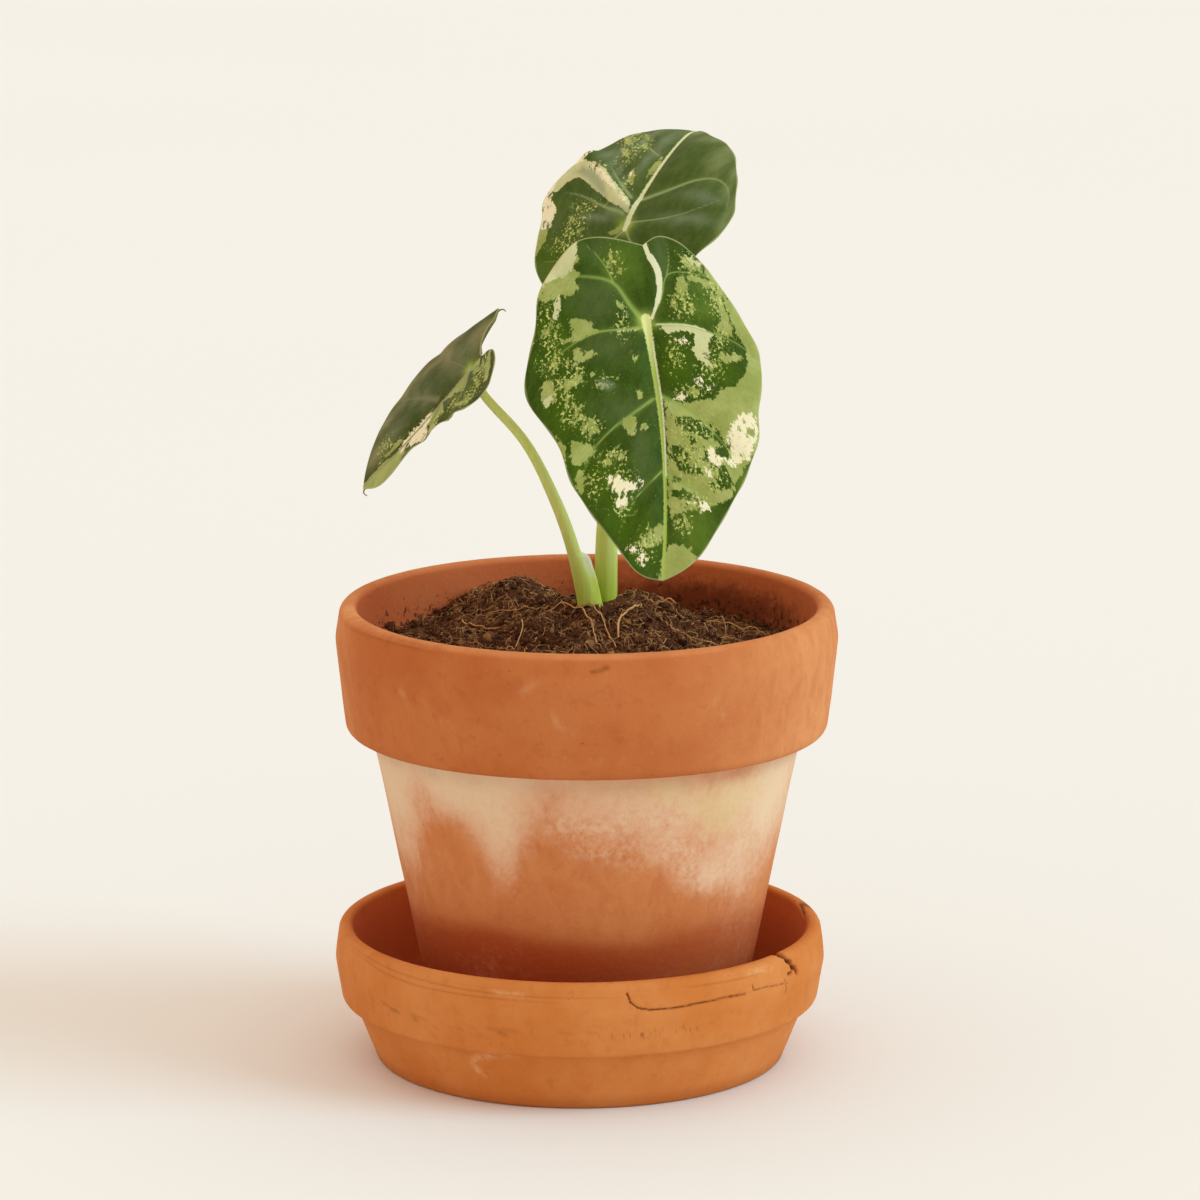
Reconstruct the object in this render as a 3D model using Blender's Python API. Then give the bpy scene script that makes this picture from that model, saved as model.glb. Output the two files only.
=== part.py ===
# Variegated Alocasia frydek: three leaves on their stalks, in a clay pot on its saucer.
# Sizes are in millimetres, and MM turns them into Blender's metres.
# The origin is on the floor on the pot's axis. +Z is up, and -Y is the front.

from math import cos, pi, radians, sin

import bmesh
import bpy
import numpy as np

MM = 0.001
CLEARANCE = 0.3  # between pieces that touch on the real plant

# Saucer, a little off the pot's axis
TURNED_SEGMENTS = 52
SAUCER_X = -1.6
SAUCER_FOOT_R = 45.0
SAUCER_WIDEST_R = 54.1
SAUCER_TOP_Z = 31.0
SAUCER_INNER_FLOOR_Z = 6.0

# Clay pot: a tapered body under a heavy rim band, and the corners (r, z) of its inner wall
POT_FLOOR_Z = SAUCER_INNER_FLOOR_Z + CLEARANCE
POT_TOP_Z = 102.0
POT_BASE_R = 33.6
POT_NECK_R = 47.3
POT_NECK_Z = 73.8
POT_RIM_R = 55.0
POT_RIM_Z = 94.5
POT_LIP_INNER_R = 50.4
POT_INNER_WALL = ((49.4, 92.0), (45.0, 76.0), (42.4, 69.0))
POT_INNER_FLOOR_Z = 12.3
POT_INNER_FLOOR_R = 30.4
POT_HOLE_R = 6.0

# Soil surface: its level at the wall, and its mounds as (x, y, height, spread)
SOIL_LEVEL_Z = 89.6
SOIL_MOUNDS = (
    (2.5, 10.0, 8.6, 15.0),
    (-18.0, 36.0, 6.5, 9.0),
    (13.5, 17.0, 4.2, 4.5),
    (-30.0, -8.0, 1.6, 16.0),
    (20.0, -26.0, 1.2, 14.0),
)
SOIL_LUMP = 0.7
SOIL_R = 48.4
SOIL_FOOT = ((31.4, 18.0), (28.0, POT_INNER_FLOOR_Z + CLEARANCE))
SOIL_RINGS = 9
SOIL_SEGMENTS = 44

# Rootstock: a short corm below the stalks, with stout roots
CORM_X = 3.6
CORM_Y = 12.0
CORM_TOP_Z = 85.7
CORM_LOW_Z = 62.0
CORM_R = 7.8
ROOT_R = 1.3
ROOT_COUNT = 6
ROOT_REACH = 17.0
ROOT_DROP = 34.0
SOIL_PLAY = 0.35  # the soil's sides and its hollow keep this much off the pot and the roots

# Leaf stalks: points along each, as (x, y, z, width, depth) of its section
STALK_FOOT_Z = CORM_TOP_Z + CLEARANCE
STALKS = {
    "petiole_left": (
        (1.7, 7.3, STALK_FOOT_Z + 0.2, 5.0, 4.3),
        (1.3, 7.4, 93.0, 5.9, 4.7),
        (0.9, 7.5, 100.3, 6.2, 4.9),
        (-0.3, 7.0, 106.7, 5.4, 4.5),
        (-2.4, 6.2, 113.2, 3.7, 3.6),
        (-4.2, 5.5, 117.7, 3.4, 3.3),
        (-8.5, 4.0, 127.6, 2.9, 2.9),
        (-14.5, 2.5, 138.4, 2.4, 2.4),
        (-20.6, 1.6, 145.0, 2.1, 2.1),
        (-23.0, 1.2, 148.3, 2.0, 2.0),
        (-23.9, 0.7, 151.6, 1.9, 1.9),
    ),
    "petiole_front": (
        (4.3, 12.2, STALK_FOOT_Z, 4.4, 4.2),
        (4.4, 12.2, 100.0, 4.8, 4.4),
        (4.7, 12.2, 112.0, 4.9, 4.3),
        (5.8, 12.0, 128.0, 4.0, 3.8),
        (8.0, 10.8, 148.0, 2.9, 2.9),
        (10.4, 7.5, 158.5, 2.4, 2.4),
        (11.8, 2.8, 162.5, 2.2, 2.2),
        (12.5, -2.0, 163.9, 2.1, 2.1),
    ),
    "petiole_back": (
        (4.6, 17.0, STALK_FOOT_Z, 3.6, 3.6),
        (4.9, 17.0, 100.0, 3.6, 3.6),
        (5.4, 18.5, 125.0, 3.2, 3.2),
        (7.6, 22.5, 150.0, 2.6, 2.6),
        (10.1, 26.0, 168.0, 2.3, 2.3),
        (10.9, 25.3, 175.6, 2.1, 2.1),
        (9.2, 21.6, 180.3, 2.0, 2.0),
    ),
}
STALK_SIDES = 10

# Leaf blades. A flat leaf lies in its own plane, X from the stalk towards the tip and Y across,
# and is then bent along and across. heading turns the tip round from the front, dip lowers it and
# roll tips the blade about its midrib. bend is the turn along the blade 50 mm out, as its linear
# and its squared part, and bend_lobes the turn 20 mm behind the stalk. fold lifts each half at the
# midrib, and curl turns it with each 20 mm across. The halves are named for the side of +Y.
BLADE_THICKNESS = 0.7
BLADE_SPOKES = 32
BLADE_RINGS = (0.0, 0.05, 0.14, 0.27, 0.41, 0.56, 0.71, 0.86, 1.0)
VEIN_GROOVE = 0.75
VEIN_GROOVE_WIDTH = 2.3
MIDRIB_RISE = 0.8
BLADES = {
    "blade_front": {
        "root": (12.8, -4.0, 164.7), "heading": 8, "dip": 70, "roll": 0, "length": 58.5, "sway": 2.2,
        "bend": (14, -6), "bend_lobes": 6, "fold": (8, 8), "fold_to_tip": (0, 0), "curl": (-18, -18),
        "curl_lobes": (0, -38),
        "minus": ((58.5, 0), (57.6, -4.3), (51.7, -9.1), (44.5, -13.8), (34.4, -18.8), (24.9, -21.9),
                  (19.7, -25.3), (12.1, -26.5), (3.3, -24.1), (-4.1, -23.5), (-8.7, -21.8),
                  (-13.8, -17.9), (-17.1, -14.4), (-17.8, -8.5), (-16.9, -3.6), (-16.0, 0)),
        "plus": ((58.5, 0), (57.2, 3.2), (53.6, 8.1), (47.2, 12.7), (39.6, 17.5), (32, 21.4),
                 (26.5, 23.2), (20.5, 23.7), (12.8, 25.2), (8.5, 25.3), (1.1, 23.1), (-5.6, 20),
                 (-11, 16), (-14.8, 11.3), (-17.2, 6.8), (-17.9, 3.2), (-16.0, 0)),
        "veins": (((1.5, -1), (2.2, -13), (9.5, -22)), ((17.5, 0), (24.5, -11), (38, -16)),
                  ((34, 0), (40, -6), (48, -9)), ((0, 0), (-9.5, -6), (-9.2, -19)),
                  ((-7.5, -6), (-12, -9), (-16, -11)), ((1.5, 1), (1, 14), (10.6, 24)),
                  ((17.8, 3), (22, 12), (33, 18.5)), ((35, 2), (41, 8), (48, 10)),
                  ((0, 0), (-11, 4), (-9.5, 16)), ((-8.5, 5), (-13, 5), (-16.5, 4))),
        "folds": (),
    },
    "blade_back": {
        "root": (8.1, 20.0, 181.4), "heading": 149, "dip": -60, "roll": -4, "length": 41, "sway": -2.5,
        "bend": (-60, -32), "bend_lobes": 12, "fold": (6, 5), "fold_to_tip": (0, 0),
        "curl": (-21, -16), "curl_lobes": (6, 6),
        "minus": ((41, 0), (35.5, -5), (29.8, -9.3), (26.4, -15.7), (19.1, -21.3), (11.6, -24.3),
                  (2.3, -25), (-1.4, -23), (-5.7, -20.3), (-11, -18.2), (-15.2, -14), (-17, -9),
                  (-16.3, -4), (-13.5, 0)),
        "plus": ((41, 0), (36.5, 8.2), (32.7, 13.2), (25.9, 15.6), (20.7, 19.4), (16.4, 22.4),
                 (10, 25.7), (6, 25.5), (0.2, 23.4), (-5.7, 22.4), (-11.6, 19.5), (-15.3, 15.9),
                 (-17.2, 10), (-16.5, 4.5), (-13.5, 0)),
        "veins": (((1.5, -1), (3, -12), (9, -22)), ((8, -3), (13, -15), (21, -17)),
                  ((20, -3), (26, -9), (30, -8)), ((0, 0), (-9, -5), (-9, -17)),
                  ((1.5, 1), (4, 12), (9, 23)), ((9, 0), (15, 11), (24, 15)),
                  ((21, 0), (27, 7), (33, 11)), ((0, 0), (-9, 5), (-9, 19))),
        "folds": (((5, 2), (14, 9), (18.5, 17), 1.6, 2.6), ((18.5, 17), (17, 22), (8, 23), 1.2, 2.6)),
    },
    "blade_left": {
        "root": (-25.4, 0.0, 153.4), "heading": -115, "dip": 48, "roll": -37, "length": 38.8,
        "sway": 0.4, "bend": (8, -12), "bend_lobes": 0, "fold": (9, 9.5), "fold_to_tip": (0, -8),
        "curl": (-17, -3), "curl_lobes": (-26, -22),
        "minus": ((38.8, 0), (36.1, -4.9), (31.7, -11.2), (26.2, -15.8), (19.2, -18.4), (13.5, -19),
                  (6, -16.8), (-1.3, -14.4), (-8, -11.6), (-12.8, -7.3), (-9, -4.4), (-4.5, -1.4),
                  (-4, 0)),
        "plus": ((38.8, 0), (35, 4.9), (30, 8.4), (24.2, 9.6), (18.6, 10.5), (11.2, 12.8), (5.5, 15),
                 (-0.4, 17.8), (-3.7, 18.4), (-6.8, 16.2), (-9.2, 12.4), (-9.8, 7.8), (-7.7, 3.5),
                 (-4.6, 1.2), (-4, 0)),
        "veins": (((1, -1), (5, -8), (9, -16)), ((12, -1), (17, -9), (23, -14)),
                  ((0, 0), (-6, -5), (-9, -9)), ((1, 1), (3, 9), (8, 12)),
                  ((12, 1), (18, 7), (24, 8)), ((0, 0), (-5, 5), (-5, 15))),
        "folds": (),
    },
}

# Colours (linear RGB) and roughness of the plain materials
CLAY_POT = (0.50, 0.16, 0.065)
CLAY_SAUCER = (0.53, 0.19, 0.075)
SOIL_BROWN = (0.035, 0.018, 0.010)
ROOT_CREAM = (0.55, 0.42, 0.26)
STALK_GREEN = (0.36, 0.50, 0.14)
LEAF_GREEN = (0.045, 0.12, 0.035)


def clear_scene():
    for thing in list(bpy.data.objects):
        bpy.data.objects.remove(thing, do_unlink=True)


def material(name, colour, roughness):
    made = bpy.data.materials.new(name)
    made.use_nodes = True
    shader = made.node_tree.nodes["Principled BSDF"]
    shader.inputs["Base Color"].default_value = (*colour, 1.0)
    shader.inputs["Roughness"].default_value = roughness
    return made


def solid(name, points, faces, finish):
    """Make an object from points in millimetres, with its faces turned outwards."""
    mesh = bpy.data.meshes.new(name)
    mesh.from_pydata((np.asarray(points, float) * MM).tolist(), [], faces)
    work = bmesh.new()
    work.from_mesh(mesh)
    bmesh.ops.recalc_face_normals(work, faces=work.faces)
    work.to_mesh(mesh)
    work.free()
    mesh.shade_smooth()
    mesh.set_sharp_from_angle(angle=radians(40))
    made = bpy.data.objects.new(name, mesh)
    bpy.context.scene.collection.objects.link(made)
    if finish:
        mesh.materials.append(finish)
    return made


def apply_modifiers(thing):
    """Bake the object's modifiers into its mesh."""
    graph = bpy.context.evaluated_depsgraph_get()
    baked = bpy.data.meshes.new_from_object(thing.evaluated_get(graph))
    thing.modifiers.clear()
    thing.data = baked


def combine(target, others, operation):
    """Join or cut the target by all the others at once, then remove them."""
    group = bpy.data.collections.new("tools")
    bpy.context.scene.collection.children.link(group)
    for other in others:
        bpy.context.scene.collection.objects.unlink(other)
        group.objects.link(other)
    change = target.modifiers.new(operation, "BOOLEAN")
    change.operation = operation
    change.operand_type = "COLLECTION"
    change.collection = group
    change.solver = "EXACT"
    apply_modifiers(target)
    for other in others:
        bpy.data.objects.remove(other, do_unlink=True)
    bpy.data.collections.remove(group)


def spline(knots, values, at):
    """Natural cubic curve through values at the knots, read at the given places."""
    knots = np.asarray(knots, float)
    values = np.asarray(values, float)
    at = np.asarray(at, float)
    count = len(knots)
    step = np.diff(knots)
    matrix = np.eye(count)
    right = np.zeros_like(values)
    for i in range(1, count - 1):
        matrix[i, i - 1:i + 2] = (step[i - 1], 2 * (step[i - 1] + step[i]), step[i])
        right[i] = 6 * ((values[i + 1] - values[i]) / step[i] - (values[i] - values[i - 1]) / step[i - 1])
    second = np.linalg.solve(matrix, right)
    i = np.clip(np.searchsorted(knots, at) - 1, 0, count - 2)
    before = ((knots[i + 1] - at) / step[i])[:, None]
    after = 1 - before
    scale = (step[i] ** 2 / 6)[:, None]
    straight = before * values[i] + after * values[i + 1]
    return straight + scale * ((before ** 3 - before) * second[i] + (after ** 3 - after) * second[i + 1])


def chord_spline(points, at):
    """A smooth curve through points, read at fractions of its length."""
    points = np.asarray(points, float)
    knots = np.concatenate(([0], np.cumsum(np.linalg.norm(np.diff(points[:, :3], axis=0), axis=1))))
    return spline(knots / knots[-1], points, at)


def filleted(corners, steps=2):
    """Profile points from corners (r, z, fillet radius)."""
    profile = []
    for i, (r, z, fillet) in enumerate(corners):
        here = np.array((r, z))
        if fillet == 0:
            profile.append(here)
            continue
        before = np.array(corners[i - 1][:2]) - here
        after = np.array(corners[(i + 1) % len(corners)][:2]) - here
        before /= np.linalg.norm(before)
        after /= np.linalg.norm(after)
        half = np.arccos(np.clip(before @ after, -1, 1)) / 2
        bisector = (before + after) / np.linalg.norm(before + after)
        centre = here + bisector * fillet / sin(half)
        start = here + before * fillet / np.tan(half) - centre
        end = here + after * fillet / np.tan(half) - centre
        for k in range(steps + 1):
            part = start * (1 - k / steps) + end * k / steps
            profile.append(centre + part * fillet / np.linalg.norm(part))
    return np.array(profile)


def lathe(name, profile, segments, centre, finish):
    """Turn a profile round the vertical through centre. Its ends may lie on the axis."""
    open_ended = profile[0][0] < 1e-6 and profile[-1][0] < 1e-6
    ring_points = profile[1:-1] if open_ended else profile
    turns = np.arange(segments) * 2 * pi / segments
    points = [(centre[0] + r * cos(t), centre[1] + r * sin(t), z) for r, z in ring_points for t in turns]
    rows = len(ring_points)
    faces = []
    for row in range(rows - 1 if open_ended else rows):
        upper = (row + 1) % rows
        for k in range(segments):
            m = (k + 1) % segments
            faces.append((row * segments + k, row * segments + m, upper * segments + m,
                          upper * segments + k))
    if open_ended:
        for end, row in ((profile[0], 0), (profile[-1], rows - 1)):
            points.append((centre[0], centre[1], end[1]))
            for k in range(segments):
                faces.append((len(points) - 1, row * segments + k, row * segments + (k + 1) % segments))
    return solid(name, points, faces, finish)


def pot(finish):
    corners = (
        (POT_HOLE_R, POT_FLOOR_Z, 0), (POT_BASE_R, POT_FLOOR_Z, 1.5),
        (POT_NECK_R, POT_NECK_Z, 0.6), (52.6, POT_NECK_Z - 0.4, 2.2),
        (53.6, 81.0, 0), (POT_RIM_R, POT_RIM_Z, 8.0), (53.9, POT_TOP_Z, 2.2),
        (POT_LIP_INNER_R, POT_TOP_Z, 1.4), *((r, z, 0) for r, z in POT_INNER_WALL),
        (POT_INNER_FLOOR_R, POT_INNER_FLOOR_Z, 3.0), (POT_HOLE_R, POT_INNER_FLOOR_Z, 0),
    )
    return lathe("pot", filleted(corners), TURNED_SEGMENTS, (0, 0), finish)


def saucer(finish):
    corners = (
        (0, 0, 0), (SAUCER_FOOT_R, 0, 1.2), (50.2, 13.2, 0.5), (52.6, 13.4, 1.2),
        (SAUCER_WIDEST_R, 22.5, 6.0), (53.2, SAUCER_TOP_Z, 1.6), (50.4, SAUCER_TOP_Z, 1.2),
        (46.2, 13.5, 0), (43.6, SAUCER_INNER_FLOOR_Z, 4.0), (0, SAUCER_INNER_FLOOR_Z, 0),
    )
    return lathe("saucer", filleted(corners), TURNED_SEGMENTS, (SAUCER_X, 0), finish)


def soil_height(x, y):
    """Height of the soil's surface over a place: its level, the mounds and small lumps."""
    height = SOIL_LEVEL_Z + 0 * x
    for mound_x, mound_y, rise, spread in SOIL_MOUNDS:
        height += rise * np.exp(-((x - mound_x) ** 2 + (y - mound_y) ** 2) / (2 * spread ** 2))
    lumps = np.sin(0.42 * x + 1.3) * np.sin(0.37 * y + 0.4) + np.sin(0.31 * x - 0.55 * y)
    return height + SOIL_LUMP * 0.5 * lumps


def soil(finish):
    wall = [(r - SOIL_PLAY, z) for r, z in POT_INNER_WALL[1:]] + list(SOIL_FOOT)
    turns = np.arange(SOIL_SEGMENTS) * 2 * pi / SOIL_SEGMENTS
    points = []
    for ring in range(1, SOIL_RINGS + 1):
        r = SOIL_R * ring / SOIL_RINGS
        x = r * np.cos(turns)
        y = r * np.sin(turns)
        points += list(zip(x, y, soil_height(x, y)))
    for r, z in wall:
        points += [(r * cos(t), r * sin(t), z) for t in turns]
    rows = SOIL_RINGS + len(wall)
    faces = []
    for row in range(rows - 1):
        for k in range(SOIL_SEGMENTS):
            m = (k + 1) % SOIL_SEGMENTS
            a, b = row * SOIL_SEGMENTS + k, row * SOIL_SEGMENTS + m
            faces += [(a, b, b + SOIL_SEGMENTS), (a, b + SOIL_SEGMENTS, a + SOIL_SEGMENTS)]
    middle = np.zeros(1)
    points.append((0, 0, float(soil_height(middle, middle)[0])))
    points.append((0, 0, wall[-1][1]))
    for k in range(SOIL_SEGMENTS):
        m = (k + 1) % SOIL_SEGMENTS
        faces.append((len(points) - 2, k, m))
        last = (rows - 1) * SOIL_SEGMENTS
        faces.append((len(points) - 1, last + k, last + m))
    return solid("soil", points, faces, finish)


def tube(name, path, widths, depths, sides, finish):
    """Sweep an ellipse along a path, with its width kept along X at the foot."""
    path = np.asarray(path, float)
    tangents = np.gradient(path, axis=0)
    tangents /= np.linalg.norm(tangents, axis=1)[:, None]
    across = np.cross((0.0, 1.0, 0.0), tangents[0])
    points = []
    for place, tangent, width, depth in zip(path, tangents, widths, depths):
        across = across - tangent * (across @ tangent)
        across /= np.linalg.norm(across)
        deep = np.cross(tangent, across)
        for k in range(sides):
            turn = 2 * pi * k / sides
            points.append(place + across * cos(turn) * width / 2 + deep * sin(turn) * depth / 2)
    rings = len(path)
    faces = [tuple(range(sides)), tuple(range((rings - 1) * sides, rings * sides))]
    for ring in range(rings - 1):
        for k in range(sides):
            m = (k + 1) % sides
            a, b = ring * sides + k, ring * sides + m
            faces += [(a, b, b + sides), (a, b + sides, a + sides)]
    return solid(name, points, faces, finish)


def stalk(name, finish, grow=0.0, length=1.0, rings=18):
    """A leaf stalk, or with grow a wider copy of its lower part for the soil's hole."""
    table = chord_spline(STALKS[name], np.linspace(0, length, rings))
    path = table[:, :3].copy()
    if grow:
        path[0, 2] -= 1.0
    return tube(name, path, table[:, 3] + 2 * grow, table[:, 4] + 2 * grow, STALK_SIDES, finish)


def rootstock(name, finish, grow=0.0):
    """The corm with its roots, fused, or with grow a wider copy of them."""
    corners = (
        (0, CORM_LOW_Z - grow, 0), (3.2 + grow, CORM_LOW_Z - grow, 1.5), (CORM_R + grow, 76.0, 5.0),
        (CORM_R - 0.2 + grow, CORM_TOP_Z + grow, 1.0), (0, CORM_TOP_Z + grow, 0),
    )
    corm = lathe(name, filleted(corners, 2), 14, (CORM_X, CORM_Y), finish)
    roots = []
    for k in range(ROOT_COUNT):
        turn = 2 * pi * (k + 0.35) / ROOT_COUNT
        out = np.array((cos(turn), sin(turn), 0.0))
        side = np.array((-sin(turn), cos(turn), 0.0))
        start = np.array((CORM_X, CORM_Y, 70.0 + 3.0 * (k % 3)))
        reach = ROOT_REACH * (1.0 - 0.45 * max(0.0, sin(turn)))
        route = (
            start + out * 3.0, start + out * (CORM_R + 1.0) - (0, 0, 2.0),
            start + out * (0.75 * reach) + side * 2.5 - (0, 0, 0.4 * ROOT_DROP),
            start + out * reach - side * (2.0 + k % 2) - (0, 0, ROOT_DROP + 3.0 * (k % 2)),
        )
        spread = 2 * (ROOT_R * np.array((1.0, 1.0, 0.95, 0.85, 0.75, 0.65, 0.5)) + grow)
        path = chord_spline(route, np.linspace(0, 1, len(spread)))
        if grow:
            path[-1] += (path[-1] - path[-2]) / np.linalg.norm(path[-1] - path[-2]) * grow
        roots.append(tube("root", path, spread, spread, 6, None))
    combine(corm, roots, "UNION")
    return corm


def turned_length(angle_at, length, samples=24):
    """Advance and rise, over a length, of a curve whose angle at each distance is known."""
    middles = (np.arange(samples) + 0.5) / samples
    angle = np.radians(angle_at(length[..., None] * middles))
    return np.cos(angle).mean(-1) * length, np.sin(angle).mean(-1) * length


def midrib_y(blade, x):
    return blade["sway"] * np.sin(pi * np.clip(x / blade["length"], 0, 1))


def vein_distance(x, y, curve):
    """Distance from flat leaf points to a bent line given by its start, its pull and its end."""
    part = np.linspace(0, 1, 16)[:, None]
    start, pull, end = (np.array(point, float) for point in curve)
    line = start * (1 - part) ** 2 + 2 * pull * part * (1 - part) + end * part ** 2
    return np.hypot(x[..., None] - line[:, 0], y[..., None] - line[:, 1]).min(-1)


def relief(blade, x, y):
    """Height of the blade's quilting: grooves along the veins, and its raised folds."""
    along = np.clip(x, 0, blade["length"])
    nearest = np.hypot(x - along, y - midrib_y(blade, along))
    for curve in blade["veins"]:
        nearest = np.minimum(nearest, vein_distance(x, y, curve))
    height = -VEIN_GROOVE * np.exp(-(nearest / VEIN_GROOVE_WIDTH) ** 2)
    for start, pull, end, rise, width in blade["folds"]:
        height += rise * np.exp(-(vein_distance(x, y, (start, pull, end)) / width) ** 2)
    return height


def blade_axes(blade):
    """Directions of the blade's tip, its +Y side and its upper face."""
    heading, dip, roll = (radians(blade[key]) for key in ("heading", "dip", "roll"))
    tip = np.array((cos(dip) * sin(heading), -cos(dip) * cos(heading), -sin(dip)))
    level = np.array((cos(heading), sin(heading), 0.0))
    upper = np.cross(tip, level)
    return tip, cos(roll) * level + sin(roll) * upper, cos(roll) * upper - sin(roll) * level


def blade_point(blade, x, y):
    """Places on the bent blade, in millimetres, for places on the flat leaf."""
    sway = midrib_y(blade, x)
    across = y - sway
    plus = across >= 0

    def bend_at(distance):
        linear, squared = blade["bend"]
        ahead = linear * distance / 50 + squared * (distance / 50) ** 2
        return np.where(distance >= 0, ahead, blade["bend_lobes"] * distance / 20)

    forward, lift = turned_length(bend_at, x)
    out = np.clip(x / 50, -0.4, 1.2)
    lobes = np.clip((8 - x) / 20, 0, 1) ** 1.5
    fold = np.where(plus, blade["fold"][1] + blade["fold_to_tip"][1] * out,
                    blade["fold"][0] + blade["fold_to_tip"][0] * out)
    curl = np.where(plus, blade["curl"][1] + blade["curl_lobes"][1] * lobes,
                    blade["curl"][0] + blade["curl_lobes"][0] * lobes)
    side, rise = turned_length(lambda distance: fold[..., None] + curl[..., None] * distance / 20,
                               np.abs(across))
    rise = rise + relief(blade, x, y)
    lean = np.radians(bend_at(x))
    forward = forward - np.sin(lean) * rise
    lift = lift + np.cos(lean) * rise
    side = np.where(plus, side, -side) + sway
    tip, level, upper = blade_axes(blade)
    return (np.array(blade["root"]) + forward[..., None] * tip + side[..., None] * level
            + lift[..., None] * upper)


def blade_normal(blade, x, y):
    """Upward directions of the bent blade."""
    step = 0.4
    along = blade_point(blade, x + step, y) - blade_point(blade, x - step, y)
    over = blade_point(blade, x, y + step) - blade_point(blade, x, y - step)
    normal = np.cross(along, over)
    return normal / np.linalg.norm(normal, axis=-1)[..., None]


def flat_grid(blade):
    """Flat leaf points along spokes from the midrib to the margin, and the faces between them.

    The spokes leave the midrib slanting towards the tip, and those behind the stalk all start at
    the stalk. The first spoke, at the tip, and the last, in the cleft, are shared by the halves.
    """
    places = np.linspace(0, 1, BLADE_SPOKES)
    start_x = (blade["length"] - 1.5) * np.clip(1 - places / 0.45, 0, 1) ** 1.15
    start = np.stack((start_x, midrib_y(blade, start_x)), -1)
    points = []
    number = {}
    faces = []
    margin = []
    for half in ("minus", "plus"):
        edge = chord_spline(blade[half], places)
        for i in range(BLADE_SPOKES):
            for j, part in enumerate(BLADE_RINGS):
                if i in (0, BLADE_SPOKES - 1) or j == 0:
                    key = ("shared", i if j or start_x[i] > 0 else "stalk", j)
                else:
                    key = (half, i, j)
                if key not in number:
                    number[key] = len(points)
                    points.append(start[i] * (1 - part) + edge[i] * part)
                number[half, i, j] = number[key]
        for i in range(BLADE_SPOKES - 1):
            for j in range(len(BLADE_RINGS) - 1):
                a, b = number[half, i, j], number[half, i + 1, j]
                c, d = number[half, i + 1, j + 1], number[half, i, j + 1]
                faces += [face for face in ((a, c, d), (a, b, c)) if len(set(face)) == 3]
            margin.append((number[half, i, len(BLADE_RINGS) - 1],
                           number[half, i + 1, len(BLADE_RINGS) - 1]))
    return np.array(points), faces, margin


def blade_solid(name, finish):
    """A leaf blade: an upper and a lower face split alike, with the midrib raised below."""
    blade = BLADES[name]
    flat, faces, margin = flat_grid(blade)
    x, y = flat[:, 0], flat[:, 1]
    middle = blade_point(blade, x, y)
    normal = blade_normal(blade, x, y)
    along = np.clip(x, 0, blade["length"])
    off_midrib = np.hypot(x - along, y - midrib_y(blade, along))
    rib = MIDRIB_RISE * (1 - 0.8 * along / blade["length"]) * np.exp(-(off_midrib / 0.9) ** 2)
    upper = middle + normal * BLADE_THICKNESS / 2
    lower = middle - normal * (BLADE_THICKNESS / 2 + rib)[:, None]
    count = len(flat)
    whole = list(faces) + [tuple(point + count for point in face) for face in faces]
    for a, b in margin:
        whole += [(a, b, b + count), (a, b + count, a + count)]
    return solid(name, np.concatenate((upper, lower)), whole, finish)


def main():
    clear_scene()
    pot(material("pot_clay", CLAY_POT, 0.85))
    saucer(material("saucer_clay", CLAY_SAUCER, 0.8))
    ground = soil(material("potting_soil", SOIL_BROWN, 0.95))
    cutters = [rootstock("hollow", None, SOIL_PLAY)]
    cutters += [stalk(name, None, SOIL_PLAY, 0.28, 6) for name in STALKS]
    combine(ground, cutters, "DIFFERENCE")
    rootstock("rootstock", material("root", ROOT_CREAM, 0.7))
    green = material("stalk", STALK_GREEN, 0.45)
    for name in STALKS:
        stalk(name, green.copy())
    leaf = material("leaf", LEAF_GREEN, 0.5)
    for name in BLADES:
        blade_solid(name, leaf.copy())


main()
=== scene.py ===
# A variegated Alocasia frydek with three leaves, in an old clay pot on its saucer.
# Settings are in millimetres and degrees, in the frame of the CAD part: the origin is on the floor
# on the pot's axis, +Z is up and -Y is the front. The meshes are in metres.

from math import cos, pi, radians, sin
from types import SimpleNamespace

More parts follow.
